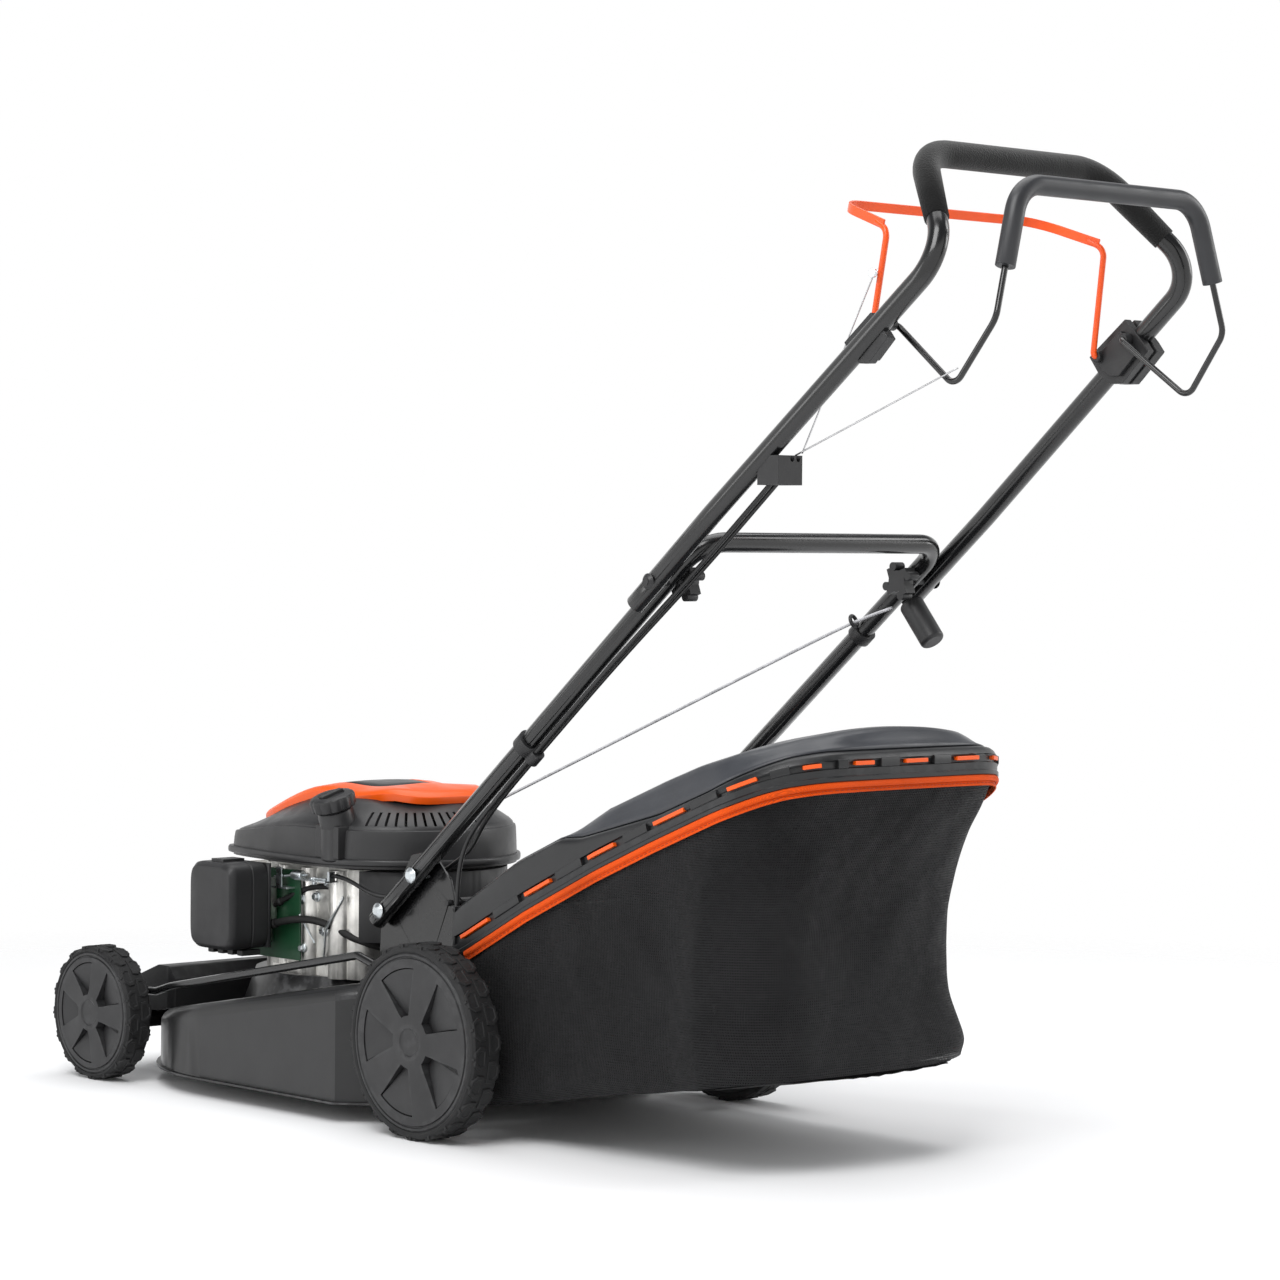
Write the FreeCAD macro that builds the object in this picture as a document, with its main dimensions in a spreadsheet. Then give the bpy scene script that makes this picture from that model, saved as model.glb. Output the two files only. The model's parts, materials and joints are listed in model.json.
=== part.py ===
import FreeCAD, Part
import math
import os
import re

import Sketcher

# Self-propelled rotary lawn mower with a grass bag.
# Every piece is drawn with the rear axle at Y = 0, the ground at Z = 0, +X to the
# mower's left and -Y forwards, and is then moved by rear_axle_y to the row's origin.

Vector = FreeCAD.Vector
Rotation = FreeCAD.Rotation
Placement = FreeCAD.Placement

os.makedirs("parts", exist_ok=True)
doc = FreeCAD.newDocument("mower")
dims = doc.addObject("Spreadsheet::Sheet", "dims")

CELLS = {
    # wheels and axles
    "rear_axle_y": -38.55, "wheelbase": 574, "track_outer": 242,
    "rear_wheel_radius": 101.6, "rear_wheel_width": 38, "rear_rim_radius": 92,
    "front_wheel_radius": 76.2, "front_wheel_width": 33, "front_rim_radius": 69,
    "axle_radius": 6, "bore_radius": 6.05,
    "crank_back": 46, "crank_drop": 16.2, "carrier_bar_radius": 7, "arm_thickness": 4,
    "arm_inner": 188,
    # deck
    "deck_centre_y": -385, "deck_radius": 225, "deck_bottom": 20, "sheet_steel": 2.2,
    "deck_front_top": 65, "deck_rear_top": 158, "deck_rear_y": -75, "lip": 5,
    "platform_top": 130, "platform_radius": 118,
    # handles
    "tube_radius": 10, "tube_wall": 1.4, "lower_handle_x": 173.5, "upper_handle_x": 193.9,
    "joint_y": 311, "joint_height": 579, "foam_radius": 13, "rod_radius": 3,
    "sleeve_radius": 9.5, "bolt_radius": 4,
    "cable_radius": 2.4, "wire_radius": 0.8, "rope_radius": 1.6,
    # engine
    "crank_radius": 12, "blade_length": 408, "blade_edge": 25, "blade_height": 46,
    "shroud_rim": 265, "shroud_top": 330, "shell": 3,
    # bag
    "bag_half_width": 180, "bag_rear_y": 468, "bag_corner": 88,
}

for row, (alias, value) in enumerate(CELLS.items(), start=1):
    dims.set("A%d" % row, alias.replace("_", " "))
    dims.set("B%d" % row, str(value))
    dims.setAlias("B%d" % row, alias)
doc.recompute()

ALIAS = re.compile(r"[a-z]\w+")
parts = []


def size(alias):
    return float(dims.get(alias))


def evaluate(term):
    """The value of a number, or of an expression written with the sheet's aliases."""
    if isinstance(term, str):
        numbers = ALIAS.sub(lambda found: "(%r)" % size(found.group()), term)
        return float(FreeCAD.Units.Quantity(numbers).Value)
    return float(term)


def bound(term):
    """The same expression, written the way setExpression wants it."""
    return ALIAS.sub(lambda found: "dims." + found.group(), term)


def bind(obj, prop, term):
    if isinstance(term, str):
        obj.setExpression(prop, bound(term))
    else:
        setattr(obj, prop, term)


def subpart(label, obj, base=(0, 0, 0), rotation=None):
    """Names a finished piece and moves it from the rear axle's frame to the row's."""
    obj.Label = label
    place = Placement(Vector(*base), rotation or Rotation())
    shift = Placement(Vector(0, size("rear_axle_y"), 0), Rotation())
    obj.Placement = shift.multiply(place).multiply(obj.Placement)
    parts.append(obj)
    return obj


# ---------------------------------------------------------------- primitives

def along(direction):
    return Rotation(Vector(0, 0, 1), Vector(*direction))


def cylinder(name, radius, length, base, direction=(0, 0, 1)):
    obj = doc.addObject("Part::Cylinder", name)
    bind(obj, "Radius", radius)
    bind(obj, "Height", length)
    obj.Placement = Placement(Vector(*base), along(direction))
    return obj


def cone(name, radius1, radius2, length, base, direction=(0, 0, 1)):
    obj = doc.addObject("Part::Cone", name)
    bind(obj, "Radius1", radius1)
    bind(obj, "Radius2", radius2)
    bind(obj, "Height", length)
    obj.Placement = Placement(Vector(*base), along(direction))
    return obj


def box(name, low, high):
    obj = doc.addObject("Part::Box", name)
    obj.Length = high[0] - low[0]
    obj.Width = high[1] - low[1]
    obj.Height = high[2] - low[2]
    obj.Placement.Base = Vector(*low)
    return obj


def fuse(name, *shapes):
    obj = doc.addObject("Part::MultiFuse", name)
    obj.Shapes = list(shapes)
    return obj


def cut(name, base, *tools):
    obj = doc.addObject("Part::Cut", name)
    obj.Base = base
    obj.Tool = tools[0] if len(tools) == 1 else fuse(name + "_tools", *tools)
    return obj


def common(name, *shapes):
    obj = doc.addObject("Part::MultiCommon", name)
    obj.Shapes = list(shapes)
    return obj


def compound(name, *shapes):
    obj = doc.addObject("Part::Compound", name)
    obj.Links = list(shapes)
    return obj


def rounded(name, base, radius, chosen):
    """Fillets the edges of base that the function chosen picks."""
    doc.recompute()
    obj = doc.addObject("Part::Fillet", name)
    obj.Base = base
    picked = [i for i, e in enumerate(base.Shape.Edges, start=1) if chosen(e)]
    obj.Edges = [(i, radius, radius) for i in picked]
    return obj


def upright(edge):
    """A straight edge along Z."""
    if len(edge.Vertexes) < 2:
        return False
    a, b = edge.Vertexes[0].Point, edge.Vertexes[1].Point
    return abs(a.x - b.x) < 0.01 and abs(a.y - b.y) < 0.01 and abs(a.z - b.z) > 0.5


def block(name, low, high, radius):
    """A box with rounded upright edges."""
    return rounded(name, box(name + "_box", low, high), radius, upright)


# ---------------------------------------------------------------- sketched bodies

def sketch(body, plane, points):
    """A closed outline of straight lines; every coordinate is a constraint."""
    obj = body.newObject("Sketcher::SketchObject", body.Name + "_sketch")
    origin = next(f for f in body.Origin.OriginFeatures if f.Role == plane)
    obj.AttachmentSupport = [(origin, "")]
    obj.MapMode = "FlatFace"
    values = [(evaluate(x), evaluate(y)) for x, y in points]
    count = len(values)
    for i in range(count):
        a, b = values[i], values[(i + 1) % count]
        line = Part.LineSegment(Vector(a[0], a[1], 0), Vector(b[0], b[1], 0))
        obj.addGeometry(line, False)
    for i in range(count):
        obj.addConstraint(Sketcher.Constraint("Coincident", i, 2, (i + 1) % count, 1))
    for i, point in enumerate(points):
        for kind, term, value in (("DistanceX", point[0], values[i][0]),
                                  ("DistanceY", point[1], values[i][1])):
            index = obj.addConstraint(Sketcher.Constraint(kind, -1, 1, i, 1, value))
            if isinstance(term, str):
                obj.setExpression("Constraints[%d]" % index, bound(term))
    return obj


def prism(name, plane, points, length, start=0, middle=False):
    """A body padded from an outline, along the plane's normal."""
    body = doc.addObject("PartDesign::Body", name)
    outline = sketch(body, plane, points)
    pad = body.newObject("PartDesign::Pad", name + "_pad")
    pad.Profile = outline
    bind(pad, "Length", length)
    pad.SideType = "Symmetric" if middle else "One side"
    if plane == "YZ_Plane":
        body.Placement.Base = Vector(start, 0, 0)
    elif plane == "XZ_Plane":
        body.Placement.Base = Vector(0, start, 0)
    else:
        body.Placement.Base = Vector(0, 0, start)
    return body


def turned(name, points):
    """A body of revolution about its own Z; points are (radius, height)."""
    body = doc.addObject("PartDesign::Body", name)
    outline = sketch(body, "XZ_Plane", points)
    spin = body.newObject("PartDesign::Revolution", name + "_turn")
    spin.Profile = outline
    spin.ReferenceAxis = (outline, ["V_Axis"])
    spin.Angle = 360
    return body


def polar_pockets(body, plane, points, depth, count):
    """A pocket through one outline, repeated round the body's own Z."""
    outline = sketch(body, plane, points)
    pocket = body.newObject("PartDesign::Pocket", body.Name + "_pocket")
    pocket.Profile = outline
    bind(pocket, "Length", depth)
    pocket.Reversed = True
    ring = body.newObject("PartDesign::PolarPattern", body.Name + "_ring")
    ring.Originals = [pocket]
    ring.Axis = (outline, ["N_Axis"])
    ring.Occurrences = count
    ring.Angle = 360
    body.Tip = ring


# ---------------------------------------------------------------- bent tubes

def bent_wire(points, bend):
    """Straight runs joined by tangent arcs of the radius bend, or one per corner."""
    corners = [Vector(*p) for p in points]
    bends = bend if isinstance(bend, list) else [bend] * (len(points) - 2)
    edges = []
    last = corners[0]
    for i in range(1, len(corners) - 1):
        before = (corners[i - 1] - corners[i]).normalize()
        after = (corners[i + 1] - corners[i]).normalize()
        half = before.getAngle(after) / 2
        reach = bends[i - 1] / math.tan(half)
        start = corners[i] + before * reach
        end = corners[i] + after * reach
        centre_line = (before + after).normalize()
        centre = corners[i] + centre_line * (bends[i - 1] / math.sin(half))
        middle = centre - centre_line * bends[i - 1]
        if (start - last).Length > 0.01:
            edges.append(Part.LineSegment(last, start).toShape())
        edges.append(Part.Arc(start, middle, end).toShape())
        last = end
    edges.append(Part.LineSegment(last, corners[-1]).toShape())
    return Part.Wire(edges)


def rod(name, points, bend, radius):
    """A round bar swept along a bent wire."""
    path = doc.addObject("Part::Feature", name + "_path")
    path.Shape = bent_wire(points, bend) if len(points) > 2 else Part.Wire(
        [Part.LineSegment(Vector(*points[0]), Vector(*points[1])).toShape()])
    ring = doc.addObject("Part::Circle", name + "_ring")
    bind(ring, "Radius", radius)
    heading = Vector(*points[1]) - Vector(*points[0])
    ring.Placement = Placement(Vector(*points[0]), Rotation(Vector(0, 0, 1), heading))
    obj = doc.addObject("Part::Sweep", name)
    obj.Sections = [ring]
    obj.Spine = (path, ["Edge%d" % (i + 1) for i in range(len(path.Shape.Edges))])
    obj.Solid = True
    obj.Frenet = False
    return obj


def pipe(name, points, bend, radius, wall="tube_wall"):
    """A hollow tube: the outer rod less the inner one."""
    inner = rod(name + "_bore", points, bend, "%s - %s" % (radius, wall))
    return cut(name, rod(name + "_wall", points, bend, radius), inner)


def mirrored(points):
    """The points, carried on to their mirror images on the other side of X = 0."""
    return list(points) + [(-x, y, z) for x, y, z in reversed(points)]


# ---------------------------------------------------------------- wheels and axles

def wheel(label, radius, width, rim_radius, position, outward):
    """A tyre and a five-spoked rim that turns on its axle."""
    x, y, z = position
    turn = Rotation(Vector(0, 1, 0), 90 * outward)
    rim = turned("rim_" + label, [
        ("bore_radius", 0), (16, 0), (16, 12), ("%s - 8" % rim_radius, 12),
        ("%s - 8" % rim_radius, 2), (rim_radius, 2), (rim_radius, "%s - 2" % width),
        ("%s - 6" % rim_radius, "%s - 2" % width), ("%s - 10" % rim_radius, "%s - 4" % width),
        (22, width), ("bore_radius", width)])
    inner = evaluate(rim_radius) * 0.34
    outer = evaluate(rim_radius) - 16
    pocket = [(inner, -3), (outer, -outer * 0.27), (outer + 3, 0), (outer, outer * 0.27),
              (inner, 3)]
    polar_pockets(rim, "XY_Plane", pocket, width, 5)
    subpart("rim_" + label, rim, (x, y, z), turn)
    tyre = turned("tyre_" + label, [
        (rim_radius, 1), ("%s - 3" % radius, 0), (radius, 3), (radius, "%s - 3" % width),
        ("%s - 3" % radius, width), (rim_radius, "%s - 1" % width)])
    subpart("tyre_" + label, tyre, (x, y, z), turn)


for side, outward in (("left", 1), ("right", -1)):
    rear_inner = outward * (size("track_outer") - size("rear_wheel_width"))
    wheel("rear_" + side, "rear_wheel_radius", "rear_wheel_width", "rear_rim_radius",
          (rear_inner, 0, size("rear_wheel_radius")), outward)
    front_inner = outward * (size("track_outer") - 2 - size("front_wheel_width"))
    wheel("front_" + side, "front_wheel_radius", "front_wheel_width", "front_rim_radius",
          (front_inner, -size("wheelbase"), size("front_wheel_radius")), outward)

ARM = size("arm_inner")
ARM_OUT = ARM + size("arm_thickness")


def crank_arm(name, y, z, side):
    """A flat arm between the pivot bar and an axle that lies behind and above it."""
    low = Vector(0, -size("crank_back"), -size("crank_drop"))
    heading = Vector(0, 0, 0) - low
    bar = box(name + "_bar", (0, 0, -11), (size("arm_thickness"), heading.Length, 11))
    bar.Placement = Placement(Vector(side, y + low.y, z + low.z),
                              Rotation(Vector(0, 1, 0), heading))
    ends = [cylinder(name + "_end%d" % i, 11, "arm_thickness", (side, py, pz), (1, 0, 0))
            for i, (py, pz) in enumerate(((y, z), (y + low.y, z + low.z)))]
    return fuse(name, bar, *ends)


def link_arm(name, y, z):
    """The upright arm that the height link is pinned to, on the pivot at y, z."""
    arm = box(name, (0, 0, 0), (size("arm_thickness"), 14, 49))
    lean = Placement(Vector(0, y, z), Rotation(Vector(1, 0, 0), 23.96))
    arm.Placement = lean.multiply(Placement(Vector(ARM, -7, 0), Rotation()))
    return arm


front_y = -size("wheelbase")
front_z = size("front_wheel_radius")
rear_z = size("rear_wheel_radius")
back, drop = size("crank_back"), size("crank_drop")
stubs = [cylinder("front_stub_%d" % s, "axle_radius", size("track_outer") - 3 - ARM,
                  (s * ARM, front_y, front_z), (s, 0, 0)) for s in (1, -1)]
collars = [cylinder("front_collar_%d" % s, 12, 10, (s * ARM_OUT, front_y, front_z), (s, 0, 0))
           for s in (1, -1)]
front_arms = [crank_arm("front_arm_%d" % i, front_y, front_z, x)
              for i, x in enumerate((ARM, -ARM_OUT))]
front_bar = cylinder("front_bar", "carrier_bar_radius", 2 * ARM,
                     (-ARM, front_y - back, front_z - drop), (1, 0, 0))
subpart("front_axle", fuse("front_axle_all", front_bar, *front_arms, *stubs, *collars,
                           link_arm("front_link_arm", front_y - back, front_z - drop)))

rear_bar = cylinder("rear_bar", "carrier_bar_radius", 2 * ARM,
                    (-ARM, -back, rear_z - drop), (1, 0, 0))
rear_arms = [crank_arm("rear_arm_%d" % i, 0, rear_z, x) for i, x in enumerate((ARM, -ARM_OUT))]
lever = rod("height_lever", [(-ARM - 2, -back, rear_z - drop + 6), (-ARM - 2, -78, 150),
                             (-ARM - 8.5, -112, 215), (-ARM - 8.5, -124, 262)], 25, 5)
carrier = fuse("rear_carrier_solid", rear_bar, *rear_arms, lever,
               link_arm("rear_link_arm", -back, rear_z - drop))
axle_bore = cylinder("carrier_bore", "bore_radius", 2 * ARM_OUT + 2, (-ARM_OUT - 1, 0, rear_z),
                     (1, 0, 0))
subpart("rear_carrier", cut("rear_carrier_all", carrier, axle_bore))
subpart("drive_axle", cylinder("drive_axle_bar", "axle_radius", 2 * size("track_outer") - 6,
                               (-size("track_outer") + 3, 0, rear_z), (1, 0, 0)))

# The link keeps both crank arms together: it is pinned to the front one.
front_pivot = (front_y - back, front_z - drop)
pin_rise = 45
pin_back = 20
link_x = ARM_OUT + 5.5
link_points = [
    (link_x, front_pivot[0] - pin_back, front_pivot[1] + pin_rise),
    (link_x, -575, 100), (link_x, -505, 104), (link_x, -478, 112), (link_x, -142, 176),
    (link_x, -112, 168), (link_x, -back - pin_back, rear_z - drop + pin_rise)]
link_pin_front = cylinder("link_pin_front", 4, 6, (ARM_OUT + 0.1, link_points[0][1],
                                                   link_points[0][2]), (1, 0, 0))
subpart("height_link", fuse("height_link_all", rod("link_rod", link_points,
                                                   [30, 30, 30, 14, 14], 4.5),
                            link_pin_front))


# ---------------------------------------------------------------- deck

def slope(y):
    """Height of the deck's sloping top above the ground at y."""
    front = size("deck_centre_y") - size("deck_radius")
    rise = (size("deck_rear_top") - size("deck_front_top")) / (size("deck_rear_y") - front)
    return size("deck_front_top") + rise * (y - front)


def deck_solid(name, inset):
    """The pressed housing's outer form, drawn smaller by inset."""
    y0 = size("deck_centre_y")
    r = size("deck_radius") - inset
    back_y = size("deck_rear_y") - inset
    low = size("deck_bottom") - (0 if inset == 0 else 5)
    tail = prism(name + "_tail", "XY_Plane", [
        (-r, y0), (r, y0), (r, -145), (160 - inset, back_y), (-160 + inset, back_y),
        (-r, -145)], 200, low)
    nose = cylinder(name + "_nose", "deck_radius - %r" % inset, 200, (0, y0, low))
    plan = fuse(name + "_plan", tail, nose)
    side = prism(name + "_side", "YZ_Plane", [
        (-700, low - 1), (0, low - 1), (0, slope(0) - inset), (-700, slope(-700) - inset)],
        600, 0, True)
    form = common(name + "_form", plan, side)
    edge = rounded(name + "_edge", form, 16 - inset, lambda e: e.BoundBox.ZMin > low + 20
                   and e.Length > 60 and abs(e.CenterOfMass.z - slope(e.CenterOfMass.y)) < 40)
    top = size("platform_top") - inset
    platform = cone(name + "_platform", "platform_radius + 18 - %r" % inset,
                    "platform_radius - %r" % inset, top - 80, (0, y0, 80))
    return fuse(name + "_solid", edge, platform)


outer = deck_solid("deck_outer", 0)
inner = deck_solid("deck_inner", size("sheet_steel"))
lip_plan = fuse("lip_plan",
                cylinder("lip_nose", "deck_radius + lip", 2.2, (0, size("deck_centre_y"),
                                                                size("deck_bottom"))),
                prism("lip_tail", "XY_Plane", [
                    ("-deck_radius - lip", "deck_centre_y"), ("deck_radius + lip", "deck_centre_y"),
                    ("deck_radius + lip", -143), (163, -71), (-163, -71),
                    ("-deck_radius - lip", -143)], 2.2, size("deck_bottom")))
centre_y = size("deck_centre_y")
deck_cuts = [
    inner,
    cylinder("deck_crank_hole", 34, 60, (0, centre_y, 90)),
    box("deck_chute_hole", (-100, -190, 100), (100, -79, 200)),
    box("deck_belt_slot", (-45, -82, 56), (55, -70, 82))]
clamps = [cut("front_clamp_%d" % s,
              box("front_clamp_block_%d" % s, (s * 120 - 12, -632, 48), (s * 120 + 12, -610, 72)),
              cylinder("front_clamp_hole_%d" % s, "carrier_bar_radius + 0.05", 40,
                       (s * 120 - 20, front_pivot[0], front_pivot[1]), (1, 0, 0)),
              cylinder("front_clamp_trim_%d" % s, "deck_radius", 200, (0, centre_y, 0)))
          for s in (1, -1)]
deck_sheet = cut("deck_shell", fuse("deck_sheet", outer, lip_plan), *deck_cuts)
subpart("deck", fuse("deck_all", deck_sheet, *clamps))

cover_profile = [(-648, 74), (-648, 88), (-625, 101), (-556, 127), (-536, 127), (-526, 112),
                 (-526, 74)]
cover_inner = [(-645, 70), (-645, 86.5), (-623.5, 98), (-555.5, 124), (-537.5, 124),
               (-529, 111), (-529, 70)]
cover_solid = rounded("front_cover_round", common(
    "front_cover_form", prism("front_cover_side", "YZ_Plane", cover_profile, 320, 0, True),
    block("front_cover_plan", (-158, -648, 0), (158, -500, 200), 40)), 4,
    lambda e: e.CenterOfMass.z > 110 and e.Length > 100)
front_hood = cut("front_cover_shell", cover_solid,
                 prism("front_cover_room", "YZ_Plane", cover_inner, 308, 0, True))
subpart("front_cover", cut("front_cover_all", front_hood,
                           prism("front_cover_seat", "YZ_Plane", [
                               (-614, 0), (-480, 0), (-480, slope(-480) + 0.2),
                               (-614, slope(-614) + 0.2)], 400, 0, True)))

# The tunnel that carries the grass up over the rear axle and into the bag.
chute_outer = [(-196, slope(-196) + 0.2), (-150, 196), (-60, 226), (8, 230), (8, 116),
               (-70, 116), (-70, slope(-75) + 0.2), (-76, slope(-76) + 0.2)]
chute_room = [(-200, slope(-200) - 12), (-148, 193), (-59, 223), (12, 227), (12, 119),
              (-73, 119), (-73, slope(-75) - 12)]
chute = cut("chute_all", prism("chute_form", "YZ_Plane", chute_outer, 252, 0, True),
            prism("chute_inside", "YZ_Plane", chute_room, 246, 0, True))
rod_hole_y, rod_hole_z = -32, 238
lugs = [box("flap_lug_%d" % s, (s * 115 - 3, rod_hole_y - 8, 224), (s * 115 + 3, rod_hole_y + 6,
                                                                      246)) for s in (1, -1)]
rod_hole = cylinder("flap_rod_hole", "rod_radius + 0.05", 400, (-200, rod_hole_y, rod_hole_z),
                    (1, 0, 0))
subpart("discharge_chute", cut("discharge_chute_all", fuse("chute_lugs", chute, *lugs), rod_hole))
bracket_outline = [(-150, slope(-150) + 0.2), (-146, 205), (-96, 284), (-62, 291), (-32, 262),
                   (-17, 215), (-19, 100), (-34, 70), (-68, 70), (-70, slope(-70) + 0.2)]
bracket_holes = [(-back, rear_z - drop, "carrier_bar_radius + 0.05"),
                 (-125.5, 223.8, "bolt_radius"), (-71.6, 265.1, "bolt_radius"),
                 (rod_hole_y, rod_hole_z, "rod_radius + 0.05")]
plates = []
for s in (1, -1):
    plate = prism("bracket_plate_%d" % s, "YZ_Plane", bracket_outline, 3, s * 161.4 - 1.5)
    drill = [cylinder("bracket_hole_%d_%d" % (s, i), r, 10, (s * 161.4 - 5, y, z), (1, 0, 0))
             for i, (y, z, r) in enumerate(bracket_holes)]
    plates.append(cut("handle_bracket_%d" % s, plate, *drill))
subpart("handle_brackets", compound("handle_brackets_all", *plates))

# Carriage bolts that hold the lower handle to the brackets, with their nuts inside.
bolts = []
for s in (1, -1):
    for i, (y, z, r) in enumerate(bracket_holes[1:3]):
        name = "bracket_bolt_%d_%d" % (s, i)
        shank = cylinder(name + "_shank", "bolt_radius", 34, (s * 152, y, z), (s, 0, 0))
        head = cone(name + "_head", 8.5, 4, 3.5, (s * 184.5, y, z), (s, 0, 0))
        nut = cylinder(name + "_nut", 7, 6, (s * 153.8, y, z), (s, 0, 0))
        bolts.append(fuse(name, shank, head, nut))
subpart("bracket_bolts", compound("bracket_bolts_all", *bolts))


# ---------------------------------------------------------------- engine

base_z = size("platform_top")
case = fuse("case_form",
            cylinder("case_flange", 104, 8, (0, centre_y, base_z)),
            block("case_block", (-92, -445, base_z), (98, -262, 252), 22),
            *[cylinder("case_boss_%d" % i, r, 120, (x, y, base_z))
              for i, (x, y, r) in enumerate(((94, -352, 13), (94, -300, 15), (92, -400, 10),
                                             (-86, -400, 12), (-86, -310, 12)))])
subpart("crankcase", cut("crankcase_all", case,
                         cylinder("case_bore", "crank_radius + 0.05", 200, (0, centre_y, 120)),
                         block("case_room", (-78, -432, 148), (84, -275, 240), 18)))

fins = [block("fin_%d" % i, (-62, -556 + 11 * i, 158), (58, -552 + 11 * i, 240), 1.5)
        for i in range(10)]
barrel = cylinder("barrel", 38, 116, (-2, -445.2, 199), (0, -1, 0))
head = block("head", (-52, -586, 166), (48, -560, 232), 8)
subpart("cylinder_head", fuse("cylinder_head_all", barrel, head, *fins))

muffler_body = block("muffler_form", (-128, -545, 165), (-68, -452, 238), 14)
muffler_pipe = cylinder("muffler_pipe", 9, 22, (-98, -545, 190), (0, -1, 0))
subpart("muffler", fuse("muffler_all", muffler_body, muffler_pipe))

carb = fuse("carburettor_all", block("carb_body", (112.6, -434, 186), (129.8, -390, 236), 6),
            cylinder("carb_bowl", 14, 22, (121, -412, 164)))
plate_z = (146, 247)
subpart("carburettor", cut("carburettor_cut", carb,
                           box("carb_trim", (104, -500, 100), (112.6, -300, 300)),
                           box("carb_trim2", (129.8, -500, 100), (150, -300, 300))))
subpart("heat_shield", box("heat_shield_form", (110, -452, plate_z[0]), (112.4, -352, plate_z[1])))
filter_base = block("air_filter_base_form", (130, -456, 160), (136, -380, 254), 2.9)
subpart("air_filter_base", filter_base)
filter_cover = rounded("filter_cover_round", box("filter_cover_form", (136.3, -458, 158),
                                                 (190, -378, 256)), 12,
                       lambda e: e.CenterOfMass.x > 160 and e.Length > 40)
filter_room = box("filter_room", (130, -454.5, 161.5), (186.5, -381.5, 252.5))
filter_hinge = cylinder("filter_hinge", 2.4, 50, (138.8, -443, 156), (0, 1, 0))
subpart("air_filter_cover", fuse("air_filter_cover_all",
                                 cut("filter_shell", filter_cover, filter_room), filter_hinge))
subpart("air_filter_element", block("filter_element_form", (136.3, -450, 168), (172, -386, 246),
                                    6))

plan_round = cylinder("tank_round", 112, 78, (0, -300, 174))
tank_trim = box("tank_trim", (-200, -470, 100), (200, -258, 300))
subpart("fuel_tank", cut("fuel_tank_all", plan_round, tank_trim,
                         box("tank_room", (-70, -250, 178), (70, -212, 248))))


def shroud_form(name, inset, low):
    """The fan housing: a side view padded across, within a rounded plan."""
    top = size("shroud_top") - inset
    near, far = -502 + inset, -181 - inset
    view = [(near, low), (near, 290), (-474 + inset, 306 - inset), (-424 + inset, 325 - inset),
            (-382, top), (-262, top), (-228, 325 - inset), (-196 - inset, 304 - inset),
            (far, 298), (far, low)]
    plan = fuse(name + "_plan", cylinder(name + "_round", 129 - inset, 200, (0, -310, 200)),
                block(name + "_front", (-106 + inset, near, 200), (106 - inset, -310, 400), 32))
    view_solid = prism(name + "_view", "YZ_Plane", view, 300, 0, True)
    wide, flat = 135 - inset, 72
    front_view = prism(name + "_front_view", "XZ_Plane", [
        (-wide, low - 1), (-wide, 298 - inset), (-flat, top), (flat, top), (wide, 298 - inset),
        (wide, low - 1)], 1200, 0, True)
    return common(name + "_form", common(name + "_side", view_solid, plan), front_view)


shell = size("shell")
rim_z = size("shroud_rim")
neck_x, neck_y = 112, -283
NECK_LEAN = math.radians(18)
neck_axis = Vector(math.sin(NECK_LEAN), 0, math.cos(NECK_LEAN))
neck_across = Vector(math.cos(NECK_LEAN), 0, -math.sin(NECK_LEAN))


def on_neck(along_axis, across=0, back=0):
    """A point on the leaning part of the filler neck, from its bend outwards."""
    point = Vector(neck_x, neck_y, 300) + neck_axis * along_axis + neck_across * across
    return (point.x, point.y + back, point.z)


shroud_shell = cut("shroud_shell", shroud_form("shroud_out", 0, 254),
                   shroud_form("shroud_in", shell, 250))
rim_ring = cut("shroud_rim_ring",
               fuse("shroud_rim_plan",
                    cylinder("shroud_rim_round", 133, 6, (0, -310, rim_z - 5)),
                    block("shroud_rim_front", (-109, -505, rim_z - 5), (109, -310, rim_z + 1),
                          34)),
               shroud_form("shroud_rim_room", 1, 250))
neck = fuse("filler_neck", cylinder("neck_wall", 20, 46, (neck_x, neck_y, 254)),
            cylinder("neck_mouth", 20, 28, on_neck(-6), neck_axis))
slots = []
for i in range(10):
    slot = box("vent_%d" % i, (0, 0, 0), (60, 3.2, 30))
    angle = -100 + 20 * i
    slot.Placement = Placement(Vector(0, -310, 303), Rotation(Vector(0, 0, 1), angle))
    slot.Placement = slot.Placement.multiply(Placement(Vector(72, 0, 0), Rotation()))
    slots.append(slot)
shroud = cut("shroud_all", fuse("shroud_neck", shroud_shell, rim_ring, neck),
             cylinder("filler_bore", 15.05, 60, on_neck(-14), neck_axis),
             cylinder("rope_hole", 5, 40, (-38, -214, 295)), *slots)
subpart("engine_shroud", shroud)

cover_view = [(-488, 302), (-474, 307), (-424, 326), (-382, 331), (-262, 331), (-230, 326.6),
              (-222, 329), (-236, 339), (-268, 345.5), (-380, 346.5), (-426, 338), (-478, 313)]
cover_plan = block("cover_plan", (-76, -489, 290), (76, -221, 360), 42)
subpart("engine_cover", cut("engine_cover_all", common(
    "engine_cover_form", prism("cover_side", "YZ_Plane", cover_view, 200, 0, True), cover_plan),
    shroud_form("cover_seat", 0, 250)))

cap_lobes = [cylinder("cap_lobe_%d" % i, 5, 15,
                      on_neck(22.5, 20 * math.cos(math.radians(60 * i)),
                              20 * math.sin(math.radians(60 * i))), neck_axis)
             for i in range(6)]
subpart("fuel_cap", fuse("fuel_cap_all", cylinder("cap_plug", 15, 14.5, on_neck(8), neck_axis),
                         cylinder("cap_disc", 22, 15, on_neck(22.5), neck_axis), *cap_lobes))

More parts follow.
